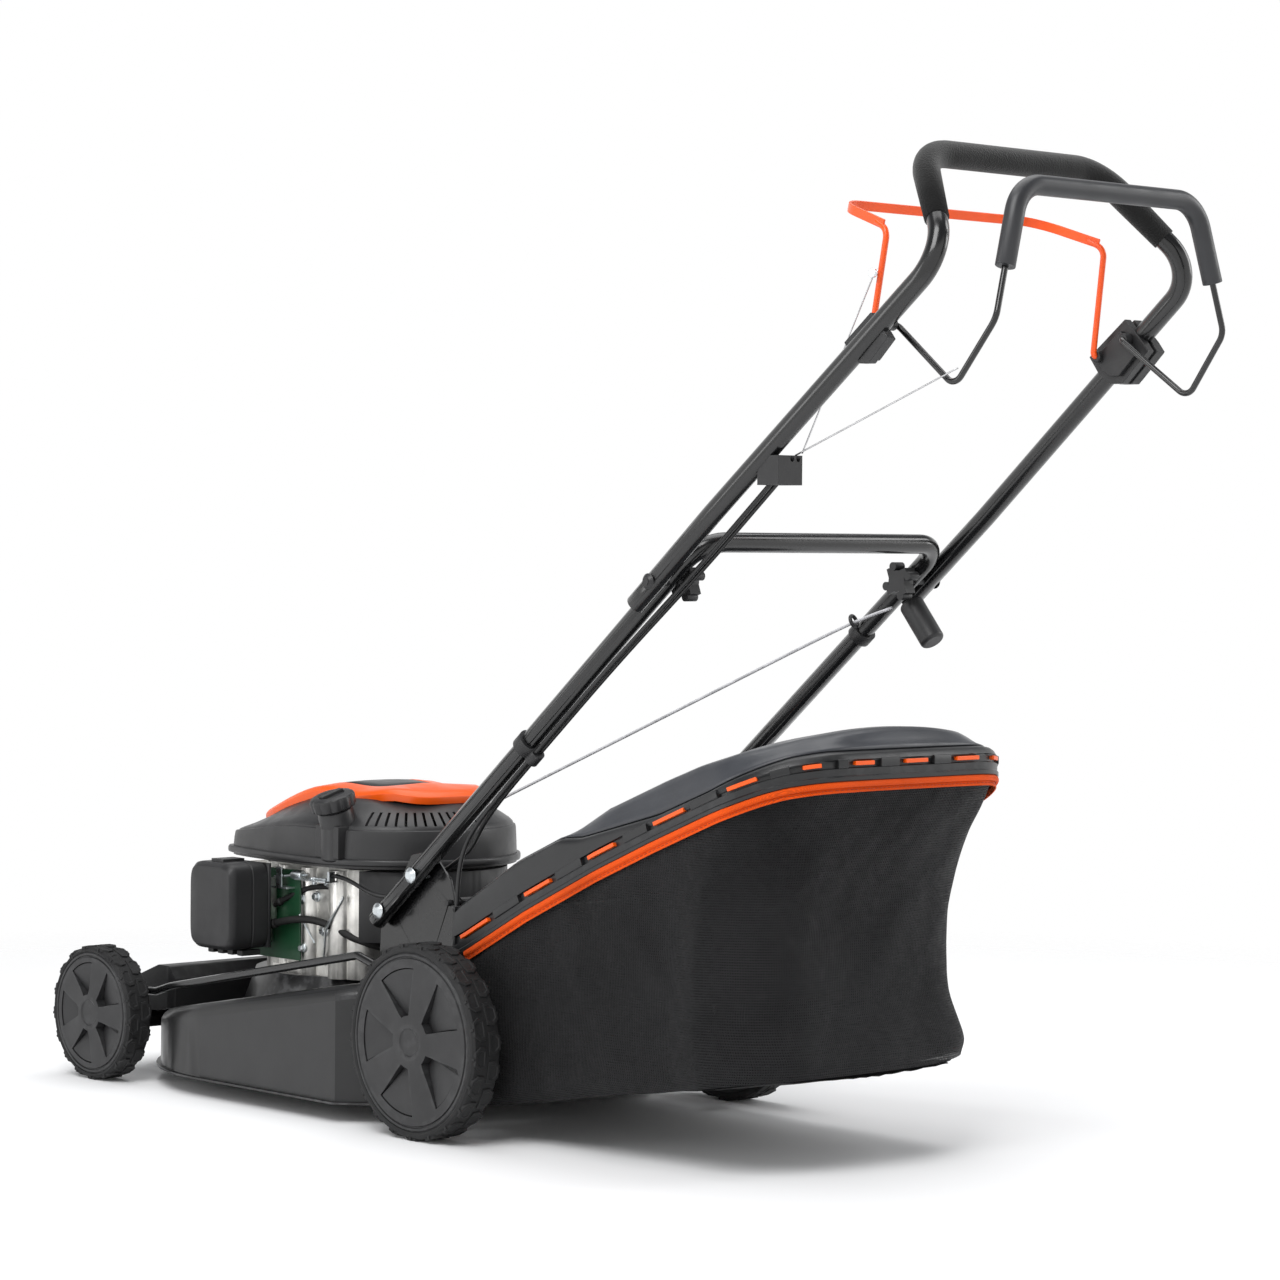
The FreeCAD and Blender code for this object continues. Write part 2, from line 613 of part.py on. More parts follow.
throttle = fuse("throttle_form", box("throttle_foot", (98.2, -338, 238), (126, -316, 239.6)),
                box("throttle_plate", (109.4, -345, 238), (126, -290, 239.6)),
                box("throttle_stop", (112, -294, 239.6), (120, -290, 250)))
lever_x, lever_y = 117, -320
subpart("throttle_bracket", cut("throttle_all", throttle,
                                cylinder("throttle_hole", 3.05, 20, (lever_x, lever_y, 230)),
                                cylinder("throttle_bore", 2.6, 20, (116, -291.9, 246), (0, 1, 0))))
subpart("engine_brake_lever", fuse("brake_lever_all",
                                   cylinder("brake_lever_pin", 3, 8, (lever_x, lever_y, 234)),
                                   cylinder("brake_lever_boss", 6, 2, (lever_x, lever_y, 239.8)),
                                   box("brake_lever_arm", (lever_x - 2, lever_y, 239.8),
                                       (lever_x + 2, lever_y + 22, 241.8))))

# Everything that turns with the crankshaft.
shaft = cylinder("shaft", "crank_radius", 246, (0, centre_y, 52))
subpart("crankshaft", shaft)
wheel_fins = [box("fan_%d" % i, (0, -1.5, 0), (18, 1.5, 20)) for i in range(12)]
for i, vane in enumerate(wheel_fins):
    vane.Placement = Placement(Vector(0, centre_y, 266), Rotation(Vector(0, 0, 1), 30 * i))
    vane.Placement = vane.Placement.multiply(Placement(Vector(60, 0, 0), Rotation()))
subpart("flywheel", fuse("flywheel_all", cut(
    "flywheel_disc", cylinder("flywheel_form", 84, 8, (0, centre_y, 258.4)),
    cylinder("flywheel_bore", "crank_radius", 20, (0, centre_y, 250))), *wheel_fins))
hub = turned("blade_hub", [("crank_radius", 0), (20, 0), (20, 12), (30, 12), (30, 13.5),
                           (26, 14), (26, 22), (30, 22.5), (30, 24), ("crank_radius", 24)])
subpart("blade_hub", hub, (0, centre_y, 52))
half = size("blade_length") / 2
edge = size("blade_edge")
blade_z = size("blade_height")
wing = prism("blade_plan", "XY_Plane", [
    (-half, -edge), (half - 90, -edge), (half, 8 - edge), (half, edge), (90 - half, edge),
    (-half, edge - 8)], 4, blade_z)
lift_right = box("lift_right", (half - 75, edge - 5, blade_z + 4), (half - 6, edge, blade_z + 14))
lift_left = box("lift_left", (6 - half, -edge, blade_z + 4), (75 - half, 5 - edge, blade_z + 14))
subpart("blade", cut("blade_all", fuse("blade_form", wing, lift_right, lift_left),
                     cylinder("blade_hole", 6, 30, (0, 0, 30))), (0, centre_y, 0))
subpart("recoil_pulley", turned("recoil_pulley", [(0, 0), (48, 0), (48, 2), (42, 3), (42, 6),
                                                  (48, 7), (48, 9), (0, 9)]),
        (0, centre_y, 302))

# Gearbox on the rear axle, its pulley and the belt from the crankshaft.
pulley_x, pulley_y = 10, -25
gear_form = fuse("gear_form", prism("gear_block", "YZ_Plane", [
    (-58, 78), (-58, 102), (-50, 111), (0, 111), (8.5, 106), (8.5, 92), (2, 78)], 56, -18),
                 cylinder("gear_neck", 14, 8, (pulley_x, pulley_y, 76)))
subpart("gearbox_housing", cut("gearbox_all", gear_form,
                               cylinder("gear_axle_bore", "bore_radius", 80, (-30, 0, rear_z),
                                        (1, 0, 0)),
                               cylinder("gear_bar_bore", "carrier_bar_radius", 80,
                                        (-30, -back, rear_z - drop), (1, 0, 0)),
                               cylinder("gear_shaft_bore", 5.05, 30, (pulley_x, pulley_y, 60))))
subpart("gearbox_pulley", turned("gearbox_pulley", [
    (0, 0), (22, 0), (22, 2), (18, 2.5), (18, 10.5), (22, 11), (22, 12), (5, 12), (5, 26),
    (0, 26)]), (pulley_x, pulley_y, 63.5))


def loop_form(name, extra, height, z):
    """The outline of a belt that stands extra outside both pulley grooves."""
    span = Vector(pulley_x, pulley_y - centre_y, 0)
    lean = math.asin((26 - 18) / span.Length)
    side = math.atan2(span.y, span.x)
    ends = [cylinder(name + "_big", 26.3 + extra, height, (0, centre_y, z)),
            cylinder(name + "_small", 18.3 + extra, height, (pulley_x, pulley_y, z))]
    corners = []
    for sign in (1, -1):
        heading = side + sign * (math.pi / 2 - lean)
        unit = Vector(math.cos(heading), math.sin(heading), 0)
        big = Vector(0, centre_y, 0) + unit * (26.3 + extra)
        small = Vector(pulley_x, pulley_y, 0) + unit * (18.3 + extra)
        corners += [big, small] if sign == 1 else [small, big]
    web = prism(name + "_web", "XY_Plane", [(p.x, p.y) for p in corners], height, z)
    return fuse(name, web, *ends)


subpart("drive_belt", cut("drive_belt_all", loop_form("belt_out", 3.5, 7, 66.5),
                          loop_form("belt_in", 0, 9, 65.5)))


# ---------------------------------------------------------------- handles

lower_x = size("lower_handle_x")
upper_x = size("upper_handle_x")
joint_y, joint_z = size("joint_y"), size("joint_height")
LOWER_RISE = 1.2083


def on_lower(x, z, off=0):
    """A point off millimetres behind the lower tube's axis, at the height z."""
    return (x, 208.8 + LOWER_RISE * (z - 500) + 0.637 * off, z - 0.770 * off)


def on_upper(x, z, off=0):
    return (x, 215.4 + 1.203 * (z - 500) + 0.639 * off, z - 0.769 * off)


lower_path = mirrored([on_lower(lower_x, 212), (lower_x - 1, 350, 617.5)])
upper_path = mirrored([on_upper(upper_x, 556), on_upper(upper_x, 645),
                       (180, 672.9, 881.8), (124.5, 592.5, 981.3)])
bolt_holes = [cylinder("lower_hole_%d_%d" % (s, i), "bolt_radius", 60, (s * 150, y, z), (s, 0, 0))
              for s in (1, -1) for i, (y, z, r) in enumerate(bracket_holes[1:3])]
knob_holes = [cylinder("knob_hole_%d_%d" % (s, i), "bolt_radius + 0.05", 70,
                       (s * 148, joint_y, joint_z), (s, 0, 0))
              for s in (1, -1) for i in range(2)]
subpart("lower_handle", cut("lower_handle_all", pipe("lower_tube", lower_path, 34, "tube_radius"),
                            *bolt_holes, knob_holes[0], knob_holes[2]))
upper_bends = [400, 40, 52, 52, 40, 400]
stubs_y, stubs_z = (561.5, 595.4), (803.7, 819.7)
subpart("upper_handle", cut("upper_handle_all",
                            pipe("upper_tube", upper_path, upper_bends, "tube_radius"),
                            knob_holes[1], knob_holes[3]))

grip_start = (Vector(180, 672.9, 881.8) + (Vector(124.5, 592.5, 981.3)
                                           - Vector(180, 672.9, 881.8)).normalize() * 46)
grip_path = mirrored([tuple(grip_start), (124.5, 592.5, 981.3)])
subpart("foam_grip", cut("foam_grip_all", rod("foam_outer", grip_path, 52, "foam_radius"),
                         rod("foam_inner", grip_path, 52, "tube_radius")))

housing_view = [(541.5, 806.2), (556.9, 786.8), (572.2, 776.3), (593.8, 775.5), (638.1, 812.7),
                (628.2, 820.9), (599.4, 843.7)]
small_view = [(550, 812), (556, 796), (582, 794), (606, 808), (606, 824), (592, 832), (564, 820)]
tube_clear = rod("tube_clear", upper_path, upper_bends, "tube_radius")
stub_bores = [cylinder("stub_bore_%d_%d" % (s, i), "rod_radius + 0.05", 60, (s * 150, y, z),
                       (s, 0, 0))
              for s in (1, -1) for i, (y, z) in enumerate(zip(stubs_y, stubs_z))]
right_box = prism("pivot_box_right", "YZ_Plane", housing_view, 36, -201)
left_box = prism("pivot_box_left", "YZ_Plane", small_view, 20, 165)
subpart("bail_housings", cut("bail_housings_all", compound("bail_boxes", right_box, left_box),
                             tube_clear, *stub_bores))

for s, side in ((1, "left"), (-1, "right")):
    inner_x = s * 146
    disc = cylinder("knob_disc_" + side, 11, 14, (inner_x, joint_y, joint_z), (s, 0, 0))
    arms = []
    for i in range(4):
        a = math.radians(20 + 90 * i)
        arms.append(cylinder("knob_arm_%s_%d" % (side, i), 4.5, 14,
                             (inner_x, joint_y + 16 * math.cos(a), joint_z + 16 * math.sin(a)),
                             (s, 0, 0)))
        web = box("knob_web_%s_%d" % (side, i), (0, 0, -4.5), (14, 16, 4.5))
        web.Placement = Placement(Vector(inner_x if s > 0 else inner_x - 14, joint_y, joint_z),
                                  Rotation(Vector(1, 0, 0), math.degrees(a)))
        arms.append(web)
    bolt = cylinder("knob_bolt_" + side, "bolt_radius", 62, (s * 146, joint_y, joint_z), (s, 0, 0))
    cap = cone("knob_cap_" + side, 8, 4.5, 3.2, (s * (upper_x + 10.3), joint_y, joint_z),
               (s, 0, 0))
    subpart("star_knob_" + side, fuse("star_knob_all_" + side, disc, *arms, bolt, cap))

# ---------------------------------------------------------------- control bails

brake_path = mirrored([(173.2, 561.5, 803.7), (158.5, 561.5, 803.7), (154.3, 577.7, 911.6),
                       (140, 501, 937.6)])
subpart("brake_bail", rod("brake_rod", brake_path, [5, 12, 34, 34, 12, 5], "rod_radius"))
drive_path = mirrored([(173.2, 595.4, 819.7), (158.5, 595.4, 819.7), (166, 674.7, 760.6),
                       (162.2, 720.3, 821), (124.7, 713.7, 944.7)])
subpart("drive_bail", rod("drive_rod", drive_path, [6, 12, 22, 36, 36, 22, 12, 6],
                          "rod_radius"))
sleeve_path = mirrored([(147.9, 717.8, 868.2), (124.7, 713.7, 944.7)])
subpart("drive_bail_sleeve", cut("sleeve_all",
                                 rod("sleeve_outer", sleeve_path, 36, "sleeve_radius"),
                                 rod("sleeve_inner", sleeve_path, 36, "rod_radius")))

# ---------------------------------------------------------------- cables and rope

subpart("cable_stopper", cut("stopper_all", box("stopper_block", (164, 452, 672), (196, 480, 700)),
                             tube_clear,
                             cylinder("stopper_bore_1", "cable_radius + 0.1", 60, (177.5, 440, 664),
                                      (0, 0.769, 0.639)),
                             cylinder("stopper_bore_2", "cable_radius + 0.1", 60, (169.5, 440, 664),
                                      (0, 0.769, 0.639))))

brake_route = [on_upper(169.5, 692, 17.5), on_upper(169.5, 600, 17.5), on_lower(169.5, 520, 16),
               on_lower(169.5, 384, 16), on_lower(165, 332, 17), (150, -12, 292), (146, -80, 260),
               (140, -155, 228), (128, -225, 236), (116, -289.6, 246)]
subpart("brake_cable", rod("brake_sheath", brake_route, [90, 120, 120, 60, 30, 50, 60, 40],
                           "cable_radius"))
drive_route = [on_upper(177.5, 692, 17.5), on_upper(177.5, 600, 17.5), on_lower(176, 520, 16),
               on_lower(176, 384, 16), on_lower(174, 326, 17), (172, -10.5, 262),
               (172, -10.5, 150), (150, -11, 112), (90, -16, 106), (39, -24, 104)]
subpart("drive_cable", rod("drive_sheath", drive_route, [90, 120, 120, 60, 50, 40, 22, 40],
                           "cable_radius"))
subpart("brake_wire", rod("brake_core", [(169.5, 485, 702), (163.5, 570, 867)], 1,
                          "wire_radius"))
subpart("drive_wire", rod("drive_core", [(177.5, 484, 700), (171.2, 683, 777)], 1,
                          "wire_radius"))

clip_along = (0, 0.770, 0.638)
lower_clear = rod("lower_clear", lower_path, 34, "tube_radius")
left_clip = cut("left_clip", fuse("left_clip_form",
                                  cylinder("left_clip_ring", "tube_radius + 3", 14,
                                           on_lower(lower_x, 406), clip_along),
                                  cylinder("left_clip_cables", 7.5, 14,
                                           on_lower(lower_x - 1, 406, 16), clip_along)),
                lower_clear,
                *[cylinder("clip_bore_%d" % i, "cable_radius + 0.1", 40,
                           on_lower(x, 396, 16), clip_along) for i, x in enumerate((176, 169.5))])
right_clip = cut("right_clip", cylinder("right_clip_ring", "tube_radius + 3", 12,
                                        on_lower(-lower_x, 519), clip_along), lower_clear)
eye_centre = (-154, 243, 536)
eye = doc.addObject("Part::Torus", "rope_eye")
eye.Radius1, eye.Radius2 = 6, 2
eye.Placement = Placement(Vector(*eye_centre), along((-0.22, 0.85, 0.36)))
subpart("tube_clips", compound("tube_clips_all", left_clip,
                               fuse("right_clip_all", right_clip, eye)))

grip_x = -170.5
grip_axis = (0, 0.637, -0.770)
subpart("starter_grip", rounded("starter_grip_all",
                                cylinder("grip_body", 13, 52, (grip_x, 308.4, 556.6), grip_axis),
                                4, lambda e: len(e.Vertexes) == 1 and e.Length > 60))
rope_route = [(-38, -214, 318.5), eye_centre, (-160.2, 292, 551)]
subpart("starter_rope", rod("starter_cord", rope_route, 20, "rope_radius"))

# ---------------------------------------------------------------- flap and grass bag

flap_view = [(-32, 236.5), (-10, 236.5), (-4, 239.4), (153, 317.9), (151.5, 321), (-5, 242.8),
             (-12, 240.5), (-32, 240.5)]
flap_plate = prism("flap_plate", "YZ_Plane", flap_view, 300, 0, True)
flap_barrel = cylinder("flap_barrel", 5, 300, (-150, rod_hole_y, rod_hole_z), (1, 0, 0))
notches = [box("flap_notch_%d" % s, (s * 115 - 4, -50, 200), (s * 115 + 4, -20, 260))
           for s in (1, -1)]
flap_form = cut("flap_form", fuse("flap_solid", flap_plate, flap_barrel), *notches)
subpart("rear_flap", fuse("rear_flap_all", flap_form,
                          cylinder("flap_pin", "rod_radius", 336, (-168, rod_hole_y, rod_hole_z),
                                   (1, 0, 0))))

RIM = [(16, 198), (108, 246), (214, 295), (296, 329), (366, 356), (407, 372), (449, 389),
       (468, 394)]
bag_half = size("bag_half_width")
bag_back = size("bag_rear_y")
bag_corner = size("bag_corner")
BAG_PRISM = 400


def bag_plan(name, half_width, front, rear, radius):
    """The bag's plan, its rear corners rounded."""
    return rounded(name, box(name + "_box", (-half_width, front, 0), (half_width, rear, 500)),
                   radius, lambda e: upright(e) and e.CenterOfMass.y > 300)


def bag_slice(name, outline, half_width, front, rear, radius):
    """A side view carried across the bag and trimmed to a plan."""
    return common(name, prism(name + "_side", "YZ_Plane", outline, BAG_PRISM, 0, True),
                  bag_plan(name + "_plan", half_width, front, rear, radius))


skirt_view = [(-4, 187)] + RIM + [(468, 421), (449, 416), (425, 405), (368, 381), (299, 354),
                                  (188, 321), (160, 320), (153, 316.5), (-4, 238)]
skirt_room = [(468, 300), (468, 417), (450, 412.4), (426.5, 401.4), (369.4, 377.3),
              (299.8, 350.5), (189, 317.4), (160.5, 316.4), (154, 312.7), (-0.5, 235.4),
              (-0.5, 150), (16, 150)]
dome_view = [(152, 300), (168, 322), (207, 354), (284, 389), (383, 424), (442, 433), (442, 395)]
dome_room = [(155.5, 290), (170.5, 320), (208.8, 351.5), (285.2, 386.2), (383.7, 421),
             (439, 429.4), (439, 380)]
lid_form = fuse("lid_form",
                bag_slice("skirt_form", skirt_view, bag_half + 2, -4, bag_back, bag_corner),
                bag_slice("dome_form", dome_view, bag_half - 28, 150, bag_back - 26, 62))
lid_inside = fuse("lid_inside",
                  bag_slice("skirt_inside", skirt_room, bag_half - 1.6, -0.5, bag_back - 3.6,
                            bag_corner - 3.6),
                  bag_slice("dome_inside", dome_room, bag_half - 31, 153, bag_back - 29, 59))
subpart("bag_lid", cut("bag_lid_all", lid_form, lid_inside,
                       box("lid_mouth", (-140, -10, 100), (140, 16, 232.5))))

bag_view = RIM + [(402, 285), (387, 205), (385, 129), (398, 90), (362, 84), (218, 63),
                  (72, 38), (16, 30)]
bag_room = [(18.5, 460), (18.5, 33), (72, 41), (218, 66), (361, 87), (393.5, 92.5),
            (382.4, 129), (384.4, 205.5), (399.4, 285.5), (465, 393.5), (465, 460)]
subpart("bag_fabric", cut("bag_fabric_all",
                          bag_slice("fabric_form", bag_view, bag_half - 2, 16, bag_back - 1,
                                    bag_corner - 2),
                          bag_slice("fabric_room", bag_room, bag_half - 4.5, 18.5,
                                    bag_back - 3.5, bag_corner - 4.5),
                          box("bag_mouth", (-128, 10, 114), (128, 20, 240))))

band_view = RIM + [(468, 384)] + [(y, z - 10) for y, z in reversed(RIM[:-1])]
subpart("bag_binding", cut("bag_binding_all",
                           bag_slice("band_form", band_view, bag_half + 1.6, 16, bag_back,
                                     bag_corner),
                           bag_plan("band_room", bag_half - 1.9, 0, bag_back - 0.9,
                                    bag_corner - 1.9)))

doc.recompute()
for obj in doc.Objects:
    if "Invalid" in obj.State or "Error" in obj.State:
        raise RuntimeError("failed feature: %s (%s)" % (obj.Name, obj.Label))
for obj in parts:
    shape = obj.Shape
    if shape.isNull() or not shape.isValid() or not shape.Solids:
        raise RuntimeError("bad shape: " + obj.Label)
for obj in parts:
    obj.Shape.exportStep("parts/%s.step" % obj.Label)
print("%d nodes written" % len(parts))
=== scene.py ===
import json
import math

import bmesh
import bpy
from mathutils import Matrix, Vector, noise


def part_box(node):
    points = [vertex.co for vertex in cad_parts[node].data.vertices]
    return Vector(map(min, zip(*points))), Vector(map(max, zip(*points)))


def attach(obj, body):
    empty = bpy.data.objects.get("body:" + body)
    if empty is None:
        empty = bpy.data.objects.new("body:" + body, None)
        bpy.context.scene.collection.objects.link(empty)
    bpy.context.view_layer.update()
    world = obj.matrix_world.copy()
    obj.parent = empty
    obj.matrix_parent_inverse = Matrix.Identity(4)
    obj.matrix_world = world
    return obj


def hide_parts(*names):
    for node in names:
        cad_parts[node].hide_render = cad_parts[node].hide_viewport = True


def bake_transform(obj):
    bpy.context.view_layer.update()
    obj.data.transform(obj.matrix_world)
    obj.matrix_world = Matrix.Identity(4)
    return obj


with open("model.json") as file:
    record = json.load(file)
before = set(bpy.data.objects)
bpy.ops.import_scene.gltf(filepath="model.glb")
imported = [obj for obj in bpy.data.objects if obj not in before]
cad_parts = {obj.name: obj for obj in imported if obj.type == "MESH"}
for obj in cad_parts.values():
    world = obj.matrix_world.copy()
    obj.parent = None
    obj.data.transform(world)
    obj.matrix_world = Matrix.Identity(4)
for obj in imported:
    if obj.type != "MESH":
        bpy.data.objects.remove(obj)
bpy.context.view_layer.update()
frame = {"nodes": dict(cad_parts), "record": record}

# ---------------- the frame

MM = 0.001
AXLE = sum(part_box("drive_axle"), Vector()) / 2
AXLE_Y = AXLE.y / MM
SHARP_ANGLE = math.radians(32)
ACROSS, UP = (1, 0, 0), (0, 0, 1)


def at(x, y, z):
    """A point given in millimetres from the ground under the rear axle's middle."""
    return Vector((x, y + AXLE_Y, z)) * MM


def route(points):
    return [at(*p) for p in points]


def mirrored(points):
    """The points, carried on to their mirror images on the other side of X = 0."""
    return list(points) + [(-x, y, z) for x, y, z in reversed(points)]


# ---------------- materials

class Shader:
    """A Principled shader whose colour, roughness and bump come from nodes."""

    def __init__(self, name, metallic=0.0, coat=0.0, sheen=0.0, specular=0.5):
        self.material = bpy.data.materials.new(name)
        self.material.use_nodes = True
        self.tree = self.material.node_tree
        self.base = self.tree.nodes["Principled BSDF"]
        self.put(self.base, Metallic=metallic, Coat_Weight=coat, Coat_Roughness=0.12,
                 Sheen_Weight=sheen, Sheen_Roughness=0.5, Specular_IOR_Level=specular)
        self.coords = self.add("ShaderNodeTexCoord")

    def put(self, node, **values):
        """Sets or links a node's sockets by their names, and sets its other properties."""
        for key, value in values.items():
            socket = node.inputs.get(key.replace("_", " "))
            if socket is None:
                setattr(node, key, value)
            elif isinstance(value, bpy.types.NodeSocket):
                self.tree.links.new(value, socket)
            else:
                socket.default_value = value
        return node

    def add(self, kind, **values):
        return self.put(self.tree.nodes.new(kind), **values)

    def mapped(self, scale):
        return self.add("ShaderNodeMapping", Scale=scale,
                        Vector=self.coords.outputs["Object"]).outputs["Vector"]

    def noise(self, scale, detail=3.0, stretch=(1, 1, 1)):
        return self.add("ShaderNodeTexNoise", Scale=scale, Detail=detail, Roughness=0.55,
                        Vector=self.mapped(stretch)).outputs["Fac"]

    def ramp(self, source, stops):
        """A colour ramp between two stops of (place, colour)."""
        node = self.add("ShaderNodeValToRGB", Fac=source)
        for point, (place, colour) in zip(node.color_ramp.elements, stops):
            point.position = place
            point.color = (*colour, 1)
        return node.outputs["Color"]

    def range(self, source, low, high, start=0.3, end=0.7):
        return self.add("ShaderNodeMapRange", Value=source, From_Min=start, From_Max=end,
                        To_Min=low, To_Max=high).outputs["Result"]

    def math(self, operation, *values):
        node = self.add("ShaderNodeMath", operation=operation)
        for socket, value in zip(node.inputs, values):
            if isinstance(value, (int, float)):
                socket.default_value = value
            else:
                self.tree.links.new(value, socket)
        return node.outputs["Value"]

    def bump(self, height, strength, distance):
        node = self.add("ShaderNodeBump", Strength=strength, Distance=distance, Height=height)
        self.put(self.base, Normal=node.outputs["Normal"])

    def tint(self, colour, spread, scale, worn=None, worn_at=0.6):
        """The colour with soft blotches, and a lighter one along edges that wear."""
        dark = [c * (1 - spread) for c in colour]
        light = [min(1, c * (1 + spread)) for c in colour]
        shade = self.ramp(self.noise(scale), [(0.3, dark), (0.7, light)])
        if worn:
            point = self.add("ShaderNodeNewGeometry").outputs["Pointiness"]
            edge = self.range(point, 0, 0.45, worn_at, worn_at + 0.1)
            patchy = self.math("MULTIPLY", edge, self.range(self.noise(90), 0, 1, 0.45, 0.6))
            mix = self.add("ShaderNodeMix", data_type="RGBA", Factor=patchy)
            self.tree.links.new(shade, mix.inputs[6])
            mix.inputs[7].default_value = (*worn, 1)
            shade = mix.outputs[2]
        self.put(self.base, Base_Color=shade)

    def gloss(self, low, high, scale=35):
        self.put(self.base, Roughness=self.range(self.noise(scale), low, high))


def moulded(name, colour, rough=0.45, grain=1300, depth=0.00012, spread=0.12, coat=0.0):
    """Moulded plastic: a fine spark-eroded grain, faint flow marks and rubbed edges."""
    shader = Shader(name, coat=coat)
    worn = [min(1, c * 1.5 + 0.015) for c in colour]
    shader.tint(colour, spread, 22, worn)
    shader.gloss(rough - 0.06, rough + 0.09)
    shader.bump(shader.noise(grain, 2), 0.35, depth)
    return shader.material


RUBBED_STEEL = (0.09, 0.09, 0.095)


def painted(name, colour, rough=0.3, coat=0.35, worn=RUBBED_STEEL, peel=260):
    """Stoved paint over steel, with a little orange peel."""
    shader = Shader(name, coat=coat)
    shader.tint(colour, 0.1, 16, worn, 0.64)
    shader.gloss(rough - 0.05, rough + 0.08, 24)
    shader.bump(shader.noise(peel, 2), 0.12, 0.0004)
    return shader.material


def metal(name, colour, rough=0.35, stretch=(1, 1, 1), grain=420, spread=0.15, depth=0.0002):
    """Bare metal with a grain that may run one way."""
    shader = Shader(name, metallic=1.0)
    shader.tint(colour, spread, 45)
    shader.gloss(rough - 0.1, rough + 0.12, 70)
    shader.bump(shader.noise(grain, 4, stretch), 0.4, depth)
    return shader.material


def rubber(name, colour, rough=0.62):
    """Tyre rubber: dusty, with a fine pitted skin."""
    shader = Shader(name, specular=0.35)
    dust = [c * 1.9 + 0.006 for c in colour]
    shader.tint(colour, 0.2, 30, dust, 0.56)
    shader.gloss(rough - 0.08, rough + 0.12, 60)
    shader.bump(shader.noise(900, 4), 0.45, 0.0003)
    return shader.material


def foam(name, colour, cell=620):
    """Closed-cell foam: small open pits and a soft sheen."""
    shader = Shader(name, sheen=0.25, specular=0.25)
    cells = shader.add("ShaderNodeTexVoronoi", Scale=cell, Vector=shader.mapped((1, 1, 1)))
    shader.tint(colour, 0.25, 60)
    shader.gloss(0.82, 0.95)
    shader.bump(cells.outputs["Distance"], 0.8, 0.0006)
    return shader.material


def cloth(name, colour, pitch, holes, light):
    """Woven cloth: two sets of threads over and under each other, with open holes between."""
    shader = Shader(name, sheen=0.04, specular=0.14)
    place = shader.add("ShaderNodeMapping", Scale=(math.tau / pitch,) * 3,
                       Vector=shader.coords.outputs["UV"])
    split = shader.add("ShaderNodeSeparateXYZ", Vector=place.outputs["Vector"])
    warp, weft = (shader.math("ABSOLUTE", shader.math("SINE", split.outputs[axis]))
                  for axis in "XY")
    thread = shader.math("MAXIMUM", warp, weft)
    patch = shader.range(shader.noise(9), 0.75, 1.15)
    shade = shader.ramp(shader.math("MULTIPLY", thread, patch),
                        [(0.45, [c * 0.55 for c in colour]), (0.95, light)])
    shader.put(shader.base, Base_Color=shade)
    shader.gloss(0.62, 0.8, 120)
    shader.bump(thread, 0.7, pitch * 0.25)
    if holes:
        here = shader.add("ShaderNodeSeparateXYZ", Vector=shader.coords.outputs["Object"])
        worn_back = shader.range(here.outputs["Y"], 0.17, 0.19, 0.0, 1.0)
        loose = shader.range(shader.noise(330), 0.4, 1.0, 0.4, 0.6)
        gaps = shader.math("MULTIPLY", shader.range(thread, 1 - holes, 1.0, 0.92, 0.55), loose)
        see_through = shader.math("MULTIPLY", gaps, worn_back)
        shader.put(shader.base, Alpha=shader.math("SUBTRACT", 1.0, see_through))
    return shader.material


def braid(name, colour, pitch=900):
    """A laid cord or sheath, with slanting strands."""
    shader = Shader(name, specular=0.4)
    wave = shader.add("ShaderNodeTexWave", Scale=pitch, Distortion=1.5,
                      Vector=shader.mapped((1, 0.8, 1.3)))
    shader.tint(colour, 0.2, 80)
    shader.gloss(0.5, 0.7)
    shader.bump(wave.outputs["Fac"], 0.5, 0.0003)
    return shader.material


EVEN = (1, 1, 1)
MATERIALS = {name: kind(name, *look) for name, kind, *look in (
    ("deck_paint", painted, (0.006, 0.006, 0.0065), 0.36, 0.15, RUBBED_STEEL, 420),
    ("black_plastic", moulded, (0.014, 0.014, 0.015), 0.45),
    ("tube_paint", painted, (0.004, 0.004, 0.0043), 0.22, 0.4),
    ("shroud_plastic", moulded, (0.019, 0.019, 0.02), 0.38, 1100),
    ("orange_plastic", moulded, (0.86, 0.1, 0.002), 0.34, 500, 0.00008, 0.05, 0.05),
    ("orange_paint", painted, (0.88, 0.085, 0.002), 0.34, 0.08, (0.75, 0.25, 0.12), 300),
    ("orange_trim", cloth, (0.8, 0.085, 0.003), 0.0016, 0.0, (0.88, 0.095, 0.004)),
    ("wheel_plastic", moulded, (0.017, 0.017, 0.018), 0.5, 900),
    ("tyre_rubber", rubber, (0.013, 0.013, 0.0135)),
    ("foam", foam, (0.005, 0.005, 0.005)),
    ("sleeve_plastic", moulded, (0.024, 0.025, 0.028), 0.38, 700),
    ("cast_aluminium", metal, (0.72, 0.71, 0.68), 0.42, EVEN, 260, 0.2, 0.0006),
    ("zinc_steel", metal, (0.66, 0.7, 0.72), 0.3, EVEN, 700),
    ("bare_steel", metal, (0.55, 0.55, 0.56), 0.32, (1, 8, 8), 300),
    ("green_plate", painted, (0.008, 0.055, 0.022), 0.4, 0.2, (0.1, 0.2, 0.13)),
    ("cable_black", moulded, (0.009, 0.009, 0.0095), 0.36, 400),
    ("rope", braid, (0.5, 0.5, 0.52)),
    ("mesh_fabric", cloth, (0.006, 0.006, 0.0065), 0.0052, 0.95, (0.016, 0.016, 0.017)),
    ("filter_foam", foam, (0.12, 0.12, 0.1), 380),
    ("belt_rubber", rubber, (0.014, 0.014, 0.014)),
    ("rusty_steel", metal, (0.2, 0.15, 0.12), 0.6, EVEN, 200, 0.35, 0.0005),
    ("lid_plastic", moulded, (0.012, 0.0125, 0.0135), 0.34, 1000))}
